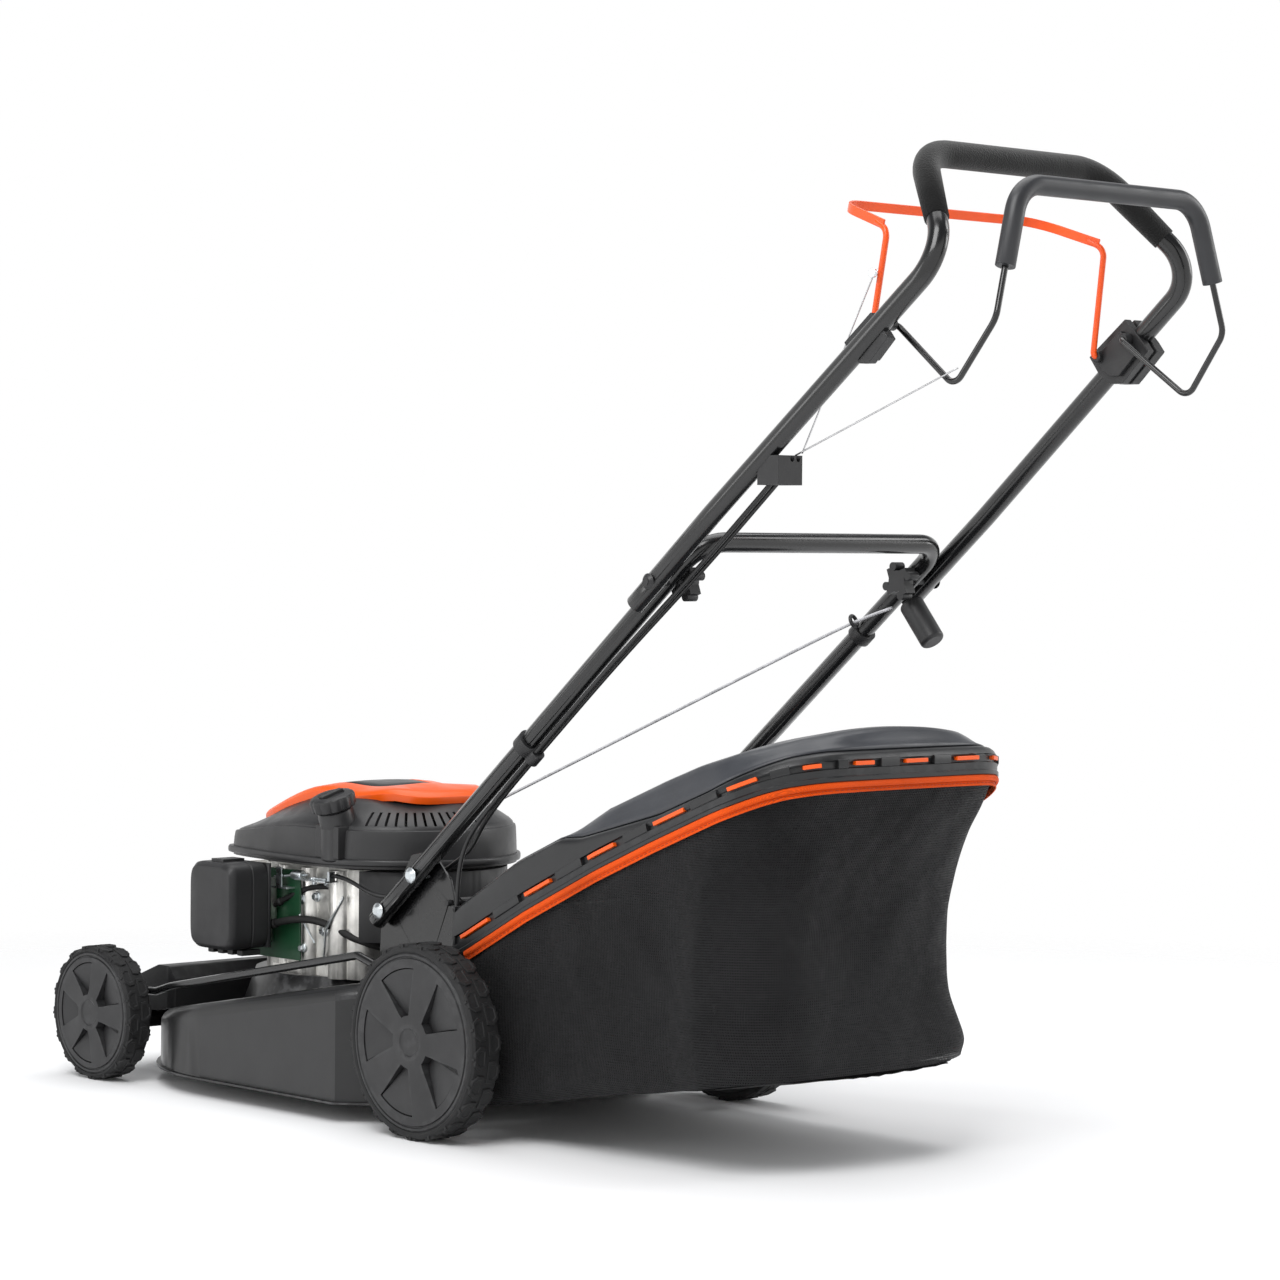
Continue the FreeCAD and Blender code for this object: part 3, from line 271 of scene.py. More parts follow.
PANEL_GREY = moulded("lid_panel_plastic", (0.04, 0.043, 0.05), 0.36, 1000)
THREAD = braid("thread", (0.4, 0.05, 0.012))
SLOT_OF = {part["node"]: part["material_slot"] for part in frame["record"]["subparts"]}
BODY_OF = {node: body for body, nodes in frame["record"]["behaviour"]["bodies"].items()
           for node in nodes}

# ---------------- mesh helpers


def linked(name, data):
    """A new object in the scene."""
    obj = bpy.data.objects.new(name, data)
    bpy.context.scene.collection.objects.link(obj)
    return obj


def new_object(name, mesh, material, body, replaced=(), wall=None, edge=None):
    """A finished piece: it rides on its body and stands for CAD nodes.

    wall holds a skin's (thickness, offset), edge the (width, segments) of its round edges.
    """
    if isinstance(mesh, list):
        mesh = joined(name, mesh)
    obj = linked(name, mesh)
    mesh.materials.append(MATERIALS[material] if isinstance(material, str) else material)
    for face in mesh.polygons:
        face.use_smooth = True
    if body:
        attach(obj, body)
    if replaced:
        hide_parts(*replaced)
    if wall:
        modify(obj, "SOLIDIFY", thickness=wall[0] * MM, offset=wall[1])
    if edge:
        bevel(obj, *edge)
    return obj


def mesh_from(name, verts, faces):
    mesh = bpy.data.meshes.new(name)
    mesh.from_pydata([tuple(v) for v in verts], [], faces)
    mesh.validate()
    return mesh


def finish_normals(mesh):
    form = bmesh.new()
    form.from_mesh(mesh)
    bmesh.ops.remove_doubles(form, verts=form.verts, dist=1e-6)
    bmesh.ops.recalc_face_normals(form, faces=form.faces)
    form.to_mesh(mesh)
    form.free()
    return mesh


def modify(obj, kind, **values):
    mod = obj.modifiers.new(kind.lower(), kind)
    for key, value in values.items():
        setattr(mod, key, value)
    return mod


def bevel(obj, width, segments, angle=SHARP_ANGLE):
    return modify(obj, "BEVEL", width=width * MM, segments=segments, limit_method="ANGLE",
                  angle_limit=angle, harden_normals=True)


def apply_modifiers(obj):
    graph = bpy.context.evaluated_depsgraph_get()
    graph.update()
    made = bpy.data.meshes.new_from_object(obj.evaluated_get(graph))
    obj.modifiers.clear()
    obj.data = made


def smooth_curve(points, steps=10):
    """Points along the NURBS curve that takes the given points as its controls."""
    curve = bpy.data.curves.new("route", "CURVE")
    curve.dimensions = "3D"
    line = curve.splines.new("NURBS")
    line.points.add(len(points) - 1)
    for point, place in zip(line.points, points):
        point.co = (*place, 1)
    line.use_endpoint_u = True
    line.order_u = 4 if len(points) > 3 else 3
    line.resolution_u = steps
    holder = linked("route", curve)
    bpy.context.view_layer.update()
    mesh = bpy.data.meshes.new_from_object(
        holder.evaluated_get(bpy.context.evaluated_depsgraph_get()))
    found = [v.co.copy() for v in mesh.vertices]
    bpy.data.objects.remove(holder)
    bpy.data.curves.remove(curve)
    bpy.data.meshes.remove(mesh)
    return found


def bent_line(points, radii, arc_steps):
    """Straight runs joined by arcs of the given radii at the inner points."""
    line = [points[0]]
    for before, corner, after, radius in zip(points, points[1:], points[2:], radii):
        back = (before - corner).normalized()
        ahead = (after - corner).normalized()
        half = back.angle(ahead) / 2
        reach = radius * MM / math.tan(half)
        centre = corner + (back + ahead).normalized() * (radius * MM / math.sin(half))
        start, end = corner + back * reach - centre, corner + ahead * reach - centre
        axis, sweep_angle = start.cross(end).normalized(), start.angle(end)
        for i in range(arc_steps + 1):
            turn = Matrix.Rotation(sweep_angle * i / arc_steps, 3, axis)
            line.append(centre + turn @ start)
    line.append(points[-1])
    return line


def faces_between(rows, count, close_rows=False, close_ring=True):
    """Four-sided faces over rows of count points that are numbered row by row."""
    faces = []
    for i in range(rows if close_rows else rows - 1):
        n = (i + 1) % rows
        for j in range(count if close_ring else count - 1):
            k = (j + 1) % count
            faces.append((i * count + j, i * count + k, n * count + k, n * count + j))
    return faces


def sweep(name, line, section, scale=None):
    """A section, a list of (across, upward) in millimetres, carried along a line."""
    verts = []
    count = len(section)
    side = None
    for i, point in enumerate(line):
        ahead = (line[min(i + 1, len(line) - 1)] - line[max(i - 1, 0)]).normalized()
        if side is None:
            side = ahead.cross(Vector(UP)).normalized()
        else:
            side = (side - ahead * side.dot(ahead)).normalized()
        rise = side.cross(ahead)
        grow = scale(i / (len(line) - 1)) if scale else 1.0
        verts += [point + (side * a + rise * b) * MM * grow for a, b in section]
    ends = [tuple(reversed(range(count))), tuple(range(len(verts) - count, len(verts)))]
    return mesh_from(name, verts, faces_between(len(line), count) + ends)


def circle(radius, count):
    return [(radius * math.cos(math.tau * i / count), radius * math.sin(math.tau * i / count))
            for i in range(count)]


def lathe(name, profile, centre, axis, steps):
    """A closed profile of (radius, along) in millimetres, turned about an axis."""
    axis = Vector(axis)
    across = axis.orthogonal().normalized()
    other = axis.cross(across)
    verts = []
    for i in range(steps):
        angle = math.tau * i / steps
        heading = across * math.cos(angle) + other * math.sin(angle)
        verts += [centre + (heading * r + axis * h) * MM for r, h in profile]
    count = len(profile)
    faces = [face for face in faces_between(steps, count, close_rows=True)
             if profile[face[0] % count][0] or profile[face[1] % count][0]]
    return finish_normals(mesh_from(name, verts, faces))


def grid(name, rows, close_rows=False, close_ring=False):
    """A skin over rows of points, all rows having the same count."""
    return mesh_from(name, [p for row in rows for p in row],
                     faces_between(len(rows), len(rows[0]), close_rows, close_ring))


def rounded_skin(name, rows, close_rows=False):
    """A skin over rows that each run the whole way round."""
    return finish_normals(grid(name, rows, close_rows, close_ring=True))


def along_line(points, value):
    """The height of a broken line of (y, z) at a y."""
    for (y0, z0), (y1, z1) in zip(points, points[1:]):
        if value <= y1:
            return z0 + (z1 - z0) * (value - y0) / (y1 - y0)
    return points[-1][1]


def ease(t):
    t = min(1.0, max(0.0, t))
    return t * t * (3 - 2 * t)


def joined(name, meshes):
    """Several meshes made one."""
    form = bmesh.new()
    for mesh in meshes:
        form.from_mesh(mesh)
    made = bpy.data.meshes.new(name)
    form.to_mesh(made)
    form.free()
    return made


def box_mesh(name, low, high):
    form = bmesh.new()
    bmesh.ops.create_cube(form, size=1)
    mid = (low + high) / 2
    span = high - low
    for v in form.verts:
        v.co = Vector((v.co.x * span.x, v.co.y * span.y, v.co.z * span.z)) + mid
    mesh = bpy.data.meshes.new(name)
    form.to_mesh(mesh)
    form.free()
    return mesh


def carve(obj, mesh):
    """Cuts a mesh out of a piece for good."""
    tool = linked("tool", mesh)
    modify(obj, "BOOLEAN", operation="DIFFERENCE", object=tool, solver="EXACT")
    apply_modifiers(obj)
    bpy.data.objects.remove(tool)


BEVELS = {"deck": 1.6, "crankcase": 1.2, "engine_shroud": 2.0, "front_cover": 1.5,
          "air_filter_base": 1.5, "fuel_tank": 2.0, "bail_housings": 2.0, "cable_stopper": 1.5,
          "star_knob_left": 1.6, "star_knob_right": 1.6, "starter_grip": 1.0,
          "handle_brackets": 0.6, "discharge_chute": 1.2, "tube_clips": 0.8,
          "gearbox_housing": 2.0, "bracket_bolts": 0.5}
PLAIN_BEVEL = 0.5
for node, obj in frame["nodes"].items():
    obj.data.materials.clear()
    obj.data.materials.append(MATERIALS[SLOT_OF[node]])
    modify(obj, "WELD", merge_threshold=0.00002)
    bevel(obj, BEVELS.get(node, PLAIN_BEVEL), 2)


# ---------------- wheels

LUG_COUNTS = {"rear": 21, "front": 17}
LUG_RISE = 2.0


def tyre(label, lugs):
    """A tyre with a ribbed shoulder and rows of hexagonal lugs."""
    lo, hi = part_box("rim_" + label)
    rim = (hi.z - lo.z) / 2 / MM
    lo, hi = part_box("tyre_" + label)
    centre = (lo + hi) / 2
    radius = (hi.z - lo.z) / 2 / MM
    half = (hi.x - lo.x) / MM / 2
    base = radius - LUG_RISE
    body = [(rim, -half + 1.2), (rim + 2.2, -half), (base - 2.5, -half + 0.6), (base, -half + 3.4),
            (base + 0.4, 0), (base, half - 3.4), (base - 2.5, half - 0.6), (rim + 2.2, half),
            (rim, half - 1.2)]
    carcass = lathe("carcass_" + label, body, centre, ACROSS, 96)
    verts, faces = [], []

    def lug(outline, levels):
        """A raised block; outline holds (angle, along) pairs, levels (radius, share) pairs."""
        first = len(verts)
        n = len(outline)
        mid_a = sum(a for a, _ in outline) / n
        mid_x = sum(x for _, x in outline) / n
        for r, share in levels:
            for a, x in outline:
                angle = mid_a + (a - mid_a) * share
                place = mid_x + (x - mid_x) * share
                verts.append(centre + Vector((place, r * math.sin(angle),
                                              r * math.cos(angle))) * MM)
        faces.append(tuple(range(len(verts) - n, len(verts))))
        faces.extend(tuple(first + v for v in face) for face in faces_between(len(levels), n))

    pitch = math.tau / lugs
    w = pitch * 0.44
    for i in range(lugs):
        for row, side in ((0, -1), (1, 1)):
            a = (i + row / 2) * pitch
            lug([(a + w * turn, side * half * out) for turn, out in
                 ((-0.9, 0.06), (-1, 0.5), (-0.55, 0.9), (0.55, 0.9), (1, 0.5), (0.9, 0.06))],
                [(base - 1, 1.0), (radius, 0.93), (radius, 0.62), (radius - 0.9, 0.56)])
            lug([(a + w * turn, side * half * out) for turn, out in
                 ((-0.12, 0.97), (-0.12, 0.86), (0.12, 0.86), (0.12, 0.97))],
                [(base - 6, 1.0), (radius - 0.7, 0.9)])
    treads = finish_normals(mesh_from("lugs_" + label, verts, faces))
    new_object("tread_" + label, [carcass, treads], "tyre_rubber", BODY_OF["tyre_" + label],
               ["tyre_" + label], edge=(0.5, 2))
    return centre, rim, half


wheels = []
for side_name, side in (("left", 1), ("right", -1)):
    for end_name, lugs in LUG_COUNTS.items():
        label = end_name + "_" + side_name
        wheels.append((label, *tyre(label, lugs), side))


# ---------------- tubes and grips


def on_lower(x, z, off=0):
    return (x, 208.8 + 1.2083 * (z - 500) + 0.637 * off, z - 0.770 * off)


def on_upper(x, z, off=0):
    return (x, 215.4 + 1.203 * (z - 500) + 0.639 * off, z - 0.769 * off)


top_bend, top_bar = (180, 672.9, 881.8), (124.5, 592.5, 981.3)
grip_line = bent_line(route(mirrored([
    tuple(Vector(top_bend) + (Vector(top_bar) - Vector(top_bend)).normalized() * 46), top_bar])),
    [52, 52], 12)


def swell(t):
    """The foam's ends draw in a little."""
    return 0.9 + 0.1 * ease(min(t, 1 - t) * 40)


foam_piece = new_object("foam_grip_soft", sweep("foam_grip_soft", grip_line, circle(13, 24),
                                                swell), "foam", "upper_handle", ["foam_grip"])

bail_parts = []
for side in (1, -1):
    leg = [(side * 173.2, 561.5, 803.7), (side * 158.5, 561.5, 803.7),
           (side * 154.3, 577.7, 908), (side * 150.5, 560, 917)]
    bail_parts.append(sweep("bail_leg", bent_line(route(leg), [5, 12], 8), circle(3.0, 12)))
bail_line = bent_line(route(mirrored([(153.0, 572, 913.5), (140, 501, 937.6)])), [34, 34], 12)
bail_parts.append(sweep("bail_strip", bail_line, [(-1.3, -4.6), (1.3, -4.6), (1.3, 4.6),
                                                  (-1.3, 4.6)]))
new_object("brake_bail_strip", bail_parts, "orange_paint", "brake_bail", ["brake_bail"],
           edge=(0.7, 2))

# ---------------- cables and cords


def cable(name, points, radius, material, replaced):
    """A cord that follows a smooth route, or runs straight between its two ends, and stays where
    it is built.
    """
    path = smooth_curve(route(points)) if len(points) > 2 else [
        at(*points[0]).lerp(at(*points[-1]), i / 24) for i in range(25)]
    obj = new_object(name, sweep(name, path, circle(radius, 10)), material, None, [replaced])
    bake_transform(obj)


UPPER_RUN, LOWER_RUN = (692, 640, 600), (520, 440, 400, 370)
brake_route = ([on_upper(169.5, z, 17.5) for z in UPPER_RUN]
               + [on_lower(169.5, z, 16) for z in LOWER_RUN]
               + [on_lower(165, 332, 17), (150, -12, 292), (146, -80, 260), (140, -155, 228),
                  (128, -225, 236), (116, -262, 245), (116, -289.6, 246)])
drive_route = ([on_upper(177.5, z, 17.5) for z in UPPER_RUN]
               + [on_lower(176, z, 16) for z in LOWER_RUN]
               + [on_lower(174, 326, 17), (172, -10.5, 275), (172, -10.5, 200),
                  (171, -10.5, 150), (150, -11, 112), (90, -16, 106), (39, -24, 104)])
brake_core = [(169.5, 485, 702), (163.5, 570, 867)]
drive_core = [(177.5, 484, 700), (171.2, 683, 777)]
rope_eye, rope_end = (-154, 243, 536), (-160.2, 292, 551)
rope_points = [(-38, -214, 318.5), (-67, -99.8, 372.9), (-96, 14.5, 427.2),
               (-125, 128.7, 481.6), rope_eye, (-157, 268, 543.5), rope_end]
cable("brake_cable_sheath", brake_route, 2.4, "cable_black",
      "brake_cable")
cable("drive_cable_sheath", drive_route, 2.4, "cable_black",
      "drive_cable")
cable("brake_wire_core", brake_core, 0.8, "bare_steel",
      "brake_wire")
cable("drive_wire_core", drive_core, 0.8, "bare_steel",
      "drive_wire")
cable("starter_rope_line", rope_points, 1.6, "rope",
      "starter_rope")

# ---------------- engine

FAN_RADIUS, FAN_Y = 129, -310


def shroud_outline(steps):
    """The housing's plan: round at the back and nearly square at the front."""
    plan = []
    power = 7.0
    for i in range(steps):
        x, y = math.cos(math.tau * i / steps), math.sin(math.tau * i / steps)
        if y >= 0:
            plan.append((FAN_RADIUS * x, FAN_Y + FAN_RADIUS * y))
            continue
        size = (abs(x) ** power + abs(y) ** power) ** (-1 / power)
        reach = FAN_RADIUS - 17 * ease(-y * size)
        plan.append((reach * x * size, FAN_Y + 198 * y * size))
    return plan


def drawn_in(x, y, share):
    """A place on the plan, moved towards the fan's middle."""
    return x * share, FAN_Y + (y - FAN_Y) * share


PLAN = shroud_outline(96)
LEVELS = [(1.0, 256), (1.0, 268), (0.996, 282), (0.99, 295), (0.985, 297.5), (0.968, 298.5),
          (0.962, 301), (0.935, 304.5), (0.87, 310), (0.78, 317), (0.7, 324), (0.64, 329),
          (0.5, 331), (0.2, 331)]
shroud_rows = []
for share, z in LEVELS:
    places = [drawn_in(x, y, share) for x, y in PLAN]
    shroud_rows.append([at(x, y, z - ease((-330 - y) / 190) * 24 * ease((z - 262) / 60))
                        for x, y in places])
crown = mesh_from("crown", shroud_rows[-1], [tuple(range(len(PLAN)))])
shroud = new_object("fan_shroud",
                    finish_normals(joined("fan_shroud", [grid("shroud_skin", shroud_rows,
                                                              close_ring=True), crown])),
                    "shroud_plastic", "chassis", ["engine_shroud"], wall=(3, -1))
apply_modifiers(shroud)
rim_rows = [[at(*drawn_in(x, y, share), z) for x, y in PLAN]
            for share, z in ((0.985, 259), (1.03, 259), (1.033, 261), (1.033, 264.5),
                             (1.028, 266), (0.985, 266))]
new_object("shroud_rim", rounded_skin("shroud_rim", rim_rows, close_rows=True), "shroud_plastic",
           "chassis")
VENTS, VENT_START, VENT_STEP, VENT_RADIUS = 13, 32, 5.2, 112
slots = []
for i in range(VENTS):
    angle = math.radians(VENT_START + VENT_STEP * i)
    slot = box_mesh("slot", Vector((-0.013, -0.0014, -0.02)), Vector((0.012, 0.0014, 0.02)))
    slot.transform(Matrix.Translation(at(VENT_RADIUS * math.cos(angle),
                                         FAN_Y + VENT_RADIUS * math.sin(angle), 309))
                   @ Matrix.Rotation(angle, 4, "Z") @ Matrix.Rotation(math.radians(38), 4, "Y")
                   @ Matrix.Rotation(math.radians(26), 4, "X"))
    slots.append(slot)
carve(shroud, joined("slots", slots))
for face in shroud.data.polygons:
    face.use_smooth = True
bevel(shroud, 0.7, 2, math.radians(40))

# the filler neck stands on the housing's left side and leans outwards at its mouth
LEANING = Matrix.Translation(at(112, -283, 300)) @ Matrix.Rotation(math.radians(18), 4, "Y")
UPRIGHT = Matrix.Translation(at(112, -283, 0))
ORIGIN = Vector((0, 0, 0))
neck_wall = lathe("neck_wall", [(0, 262), (18.5, 262), (20.5, 264), (20.8, 302), (16, 306),
                                (0, 306)], ORIGIN, UP, 48)
neck_wall.transform(UPRIGHT)
neck_mouth = lathe("neck_mouth", [(15.2, -6), (20.5, -6), (20.6, 15), (19.4, 20), (17, 21.2),
                                  (15.2, 20.5)], ORIGIN, UP, 48)
neck_mouth.transform(LEANING)
neck_pad = box_mesh("neck_pad", at(104, -303, 266), at(129.5, -263, 302))
new_object("filler_neck", [neck_wall, neck_mouth, neck_pad], "shroud_plastic", "chassis",
           edge=(2.5, 3))


def lobed_cap():
    """A screw cap with finger ribs round its side and a dished top."""
    rows = []
    for grow, z in ((0.0, 21.4), (0.9, 21.4), (1.0, 23), (1.03, 33.5), (0.97, 36.6),
                    (0.86, 38.0), (0.66, 38.4), (0.6, 36.8), (0.3, 37.2), (0.0, 37.4)):
        row = []
        for i in range(144):
            a = math.tau * i / 144
            rib = 1.5 * (0.5 + 0.5 * math.cos(12 * a)) ** 0.5 if 0.95 < grow else 0
            r = 24.2 * grow + rib - 0.7
            row.append(Vector((r * math.cos(a), r * math.sin(a), z)) * MM)
        rows.append(row)
    grips = box_mesh("grip_bar", Vector((-0.015, -0.0035, 0.0365)),
                     Vector((0.015, 0.0035, 0.0405)))
    return joined("cap_look", [rounded_skin("cap_skin", rows), grips])


cap_mesh = lobed_cap()
cap_mesh.transform(LEANING)
new_object("fuel_cap_lobed", cap_mesh, "black_plastic", "fuel_cap", ["fuel_cap"], edge=(0.7, 2))


def cover_top(x, y):
    """The orange cover's height: crowned across, and falling away at the front."""
    fall = ease((-345 - y) / 175) * 42
    waist = 5 * math.exp(-((y + 300) / 34) ** 2)
    tail = ease((y + 255) / 50) * 9
    crown = 3.5 * (1 - (x / 78) ** 2)
    return 341 - fall - waist * abs(x) / 78 - tail + crown


def soft_ring(count, power, wide, deep, grow):
    """Places round a rectangle with soft corners, given by its half sizes."""
    ring = []
    for i in range(count):
        c, s = math.cos(math.tau * i / count), math.sin(math.tau * i / count)
        k = (abs(c) ** power + abs(s) ** power) ** (-1 / power)
        ring.append((wide * c * k * grow, deep * s * k * grow))
    return ring


def cover_skin(name, levels):
    """A skin that follows the orange cover; levels hold (share of its plan, lift)."""
    rows = [[at(x, y - 362, cover_top(x, y - 362) + lift)
             for x, y in soft_ring(56, 3.4, 78, 143, grow)] for grow, lift in levels]
    return rounded_skin(name, rows)


new_object("top_cover", cover_skin("cover_look", [
    (0.99, -13), (1.0, -8), (1.0, -4.5), (0.975, -1.6), (0.93, 0), (0.62, 0.6), (0.59, -1.6),
    (0.5, -1.8), (0.25, -1.8), (0.0, -1.8)]), "orange_plastic", "chassis", ["engine_cover"],
    wall=(2.2, -1), edge=(0.5, 2))
new_object("cover_inset", cover_skin("cover_inset", [
    (0.575, -1.7), (0.56, 0.3), (0.4, 0.3), (0.2, 0.3), (0.0, 0.3)]), "shroud_plastic", "chassis",
    wall=(1.5, -1))

# air filter: a rounded cover with a parting groove and its latch
HINGE_BARREL = 4.4 * MM
lo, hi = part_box("air_filter_cover")
lo.z += HINGE_BARREL
mid, half = (lo + hi) / 2, (hi - lo) / 2
cover_rows = [[mid + Vector((half.x * along * 0.97, y, z))
               for y, z in soft_ring(96, 6.5, half.y, half.z, grow)]
              for along, grow in ((-1.0, 0.0), (-1.0, 0.96), (-0.98, 0.985), (-0.25, 1.0),
                                  (-0.22, 0.985), (-0.16, 0.985), (-0.13, 1.0), (0.6, 0.995),
                                  (0.74, 0.985), (0.96, 0.9), (0.99, 0.86), (1.01, 0.5),
                                  (1.02, 0.0))]
latch = box_mesh("latch", Vector((lo.x + 0.012, (lo.y + hi.y) / 2 - 0.011, hi.z - 0.004)),
                 Vector((hi.x - 0.012, (lo.y + hi.y) / 2 + 0.011, hi.z + 0.003)))
new_object("filter_cover", [rounded_skin("filter_cover_look", cover_rows), latch],
           "black_plastic", "filter_cover", ["air_filter_cover"], edge=(1.0, 3))

# ---------------- small parts of the engine

crankcase = frame["nodes"]["crankcase"]
INWARDS = Vector((-1, 0, 0))


def on_case(y, z, off=0.0):
    """The point of the crankcase's left face at a height and depth, lifted off it."""
    start = at(135, y, z)
    found, place = crankcase.ray_cast(start, INWARDS, distance=0.12)[:2]
    return (place if found else at(92, y, z)) + Vector((off * MM, 0, 0))


def screw(centre, radius):
    """A flanged hexagon screw on the crankcase's face."""
    head = lathe("screw", [(0, -3), (radius * 1.35, -3), (radius * 1.35, 0.9),
                           (radius * 1.15, 1.5), (0, 1.5)], centre, ACROSS, 40)
    hexagon = lathe("screw_hex", [(0, 1), (radius, 1), (radius, 4.6), (radius * 0.8, 5.2),
                                  (0, 5.2)], centre, ACROSS, 6)
    return joined("screw", [head, hexagon])


SCREWS = [(-357, 215, 5), (-339, 218, 4.5), (-325, 181, 5), (-352, 160, 4), (-312, 236, 4)]
fittings = [screw(on_case(y, z, 0.5), r) for y, z, r in SCREWS]
strap = [on_case(-322, 152, 4), on_case(-306, 186, 4), on_case(-286, 222, 4)]
fittings.append(sweep("brake_strap", strap, [(-1, -3.5), (1, -3.5), (1, 3.5), (-1, 3.5)]))
fittings.append(sweep("spring_wire", [on_case(-366, 224, 5), on_case(-352, 196, 5),
                                      on_case(-338, 166, 4)], circle(1.1, 10)))
governor_rod = [at(121, -388, 238), at(119, -362, 241), at(116, -334, 243.5)]
fittings.append(sweep("governor_rod", governor_rod, circle(1.5, 10)))
fittings.append(lathe("rod_barrel", [(0, -9), (4.5, -9), (5, -8), (5, 8), (4.5, 9), (0, 9)],
                      at(117.5, -349, 242.5), Vector((0, 1, 0.05)).normalized(), 32))
fittings.append(box_mesh("choke_plate", at(110, -391, 226), at(124, -362, 228)))
fittings.append(box_mesh("choke_lever", at(122, -381, 226), at(124, -371, 250)))
new_object("case_fittings", fittings, "zinc_steel", "chassis", edge=(0.3, 2))

hoses = []
for name, points, radius, sides, clip in (
        ("breather_hose", [(124, -398, 182), (119, -366, 192), (112, -330, 196),
                           (104, -296, 186), (94, -268, 172), (70, -256, 166)], 4.2, 18, 5.4),
        ("fuel_pipe", [(118, -392, 206), (112, -372, 216), (106, -350, 228),
                       (96, -320, 232), (88, -286, 226), (78, -262, 220)], 3.2, 16, 4.2)):
    line = smooth_curve(route(points), 14)
    heading = (line[3] - line[2]).normalized()
    hoses.append(sweep(name, line, circle(radius, sides)))
    hoses.append(lathe("hose_clip", [(clip - 2, -3), (clip, -3), (clip, 3), (clip - 2, 3)],
                       line[3], heading, 28))
new_object("engine_hoses", hoses, "belt_rubber", "chassis")

FOOT_RADIUS, CRANK_Y = 104, -385
foot = []
for turn in (20, 110, 200, 290):
    angle = math.radians(turn)
    foot.append(lathe("foot_bolt", [(0, 0), (7, 0), (7, 1.4), (5.4, 1.8), (5.4, 5.6),
                                    (4.6, 6.4), (0, 6.4)],
                      at(FOOT_RADIUS * math.cos(angle),
                         CRANK_Y + FOOT_RADIUS * math.sin(angle), 130.5), UP, 24))
new_object("foot_bolts", foot, "zinc_steel", "chassis", edge=(0.3, 2))
clips = [box_mesh("filter_clip", at(140, y - 5, 151.5), at(166, y + 5, 158))
         for y in (-446, -428, -410, -392)]
new_object("filter_clips", clips, "black_plastic", "filter_cover", edge=(1.2, 2))

# ---------------- wheel discs

POCKETS = 5
POCKET_OUTER, POCKET_INNER = 0.83, 0.3
OUTER_HALF, INNER_HALF = math.radians(21), math.radians(12)


def pocket_shape(radius, depth_out, depth_in, trim):
    """A wedge between two spokes, as rows of (radius, half angle, depth)."""
    rows = []
    for i in range(9):
        t = i / 8
        share = POCKET_INNER + (POCKET_OUTER - POCKET_INNER) * t
        wide = share * math.sin(INNER_HALF + (OUTER_HALF - INNER_HALF) * t ** 0.5)
        rows.append((share * radius - trim * (2 * t - 1), math.asin(wide / share) - trim / 60,
                     depth_in + (depth_out - depth_in) * t ** 0.7))
    return rows


def border(rows):
    """The points round the edge of a grid."""
    return ([row[0] for row in rows] + rows[-1][1:] + [row[-1] for row in rows[-2::-1]]
            + rows[0][-2:0:-1])


def wedge(centre, side, turn, rows, thickness):
    """A closed wedge plate that lies in a pocket."""
    front, rear = [[[centre + Vector((side * (depth - back), r * math.cos(turn + spread * k / 6),
                                      r * math.sin(turn + spread * k / 6))) * MM
                     for k in range(-6, 7)] for r, spread, depth in rows]
                   for back in (0, thickness)]
    wall = grid("wedge_wall", [border(front), border(rear)], close_ring=True)
    return finish_normals(joined("wedge", [grid("wedge_front", front),
                                           grid("wedge_rear", rear), wall]))


def wheel_disc(label, centre, rim, half, side):
    """The wheel's moulded disc: five broad spokes with a sunken wedge between each pair."""
    face = half - 0.6
    back = 1.5 - half
    profile = [(6.2, back), (16, back), (16, face - 13), (rim - 10, face - 13),
               (rim - 10, back), (rim + 0.4, back), (rim + 0.4, face - 1.6),
               (rim - 1.6, face + 0.2), (rim - 3.6, face + 0.2), (rim - 4.4, face - 1.3),
               (rim - 5.4, face - 1.3), (rim - 6.2, face + 0.3), (rim - 11, face + 0.1),
               (27, face + 1.2), (20, face + 2.6), (15, face + 2.7), (13.5, face + 1.6),
               (0, face + 1.9), (0, face - 4), (6.2, face - 4)]
    body = BODY_OF["rim_" + label]
    disc = new_object("wheel_disc_" + label,
                      lathe("disc_" + label, profile, centre, (side, 0, 0), 96),
                      "wheel_plastic", body, ["rim_" + label])
    plates = []
    for k in range(POCKETS):
        turn = math.pi + math.tau * k / POCKETS
        hole = [(r, spread, face + 6) for r, spread, _ in pocket_shape(rim, 0, 0, 0)]
        carve(disc, wedge(centre, side, turn, hole, 17))
        plates.append(wedge(centre, side, turn,
                            pocket_shape(rim, face - 0.8, face - 8.5, 0.9), 2.4))
    bevel(disc, 0.6, 2)
    new_object("wheel_wedges_" + label, plates, "wheel_plastic", body, edge=(0.4, 2))


for wheel in wheels:
    wheel_disc(*wheel)

# ---------------- pivot housings of the bails

HOUSING = [(545, 804), (558, 786), (572, 777), (588, 777), (620, 808), (612, 818), (590, 840)]


def slab(outline, share, x0, x1):
    """A plate across the mower, its outline drawn in about its middle."""
    count = len(outline)
    mid_y = sum(y for y, _ in outline) / count
    mid_z = sum(z for _, z in outline) / count
    verts = [at(x, mid_y + (y - mid_y) * share, mid_z + (z - mid_z) * share)
             for x in (x0, x1) for y, z in outline]
    faces = faces_between(2, count)
    faces += [tuple(range(count)), tuple(range(2 * count - 1, count - 1, -1))]
    return finish_normals(mesh_from("slab", verts, faces))


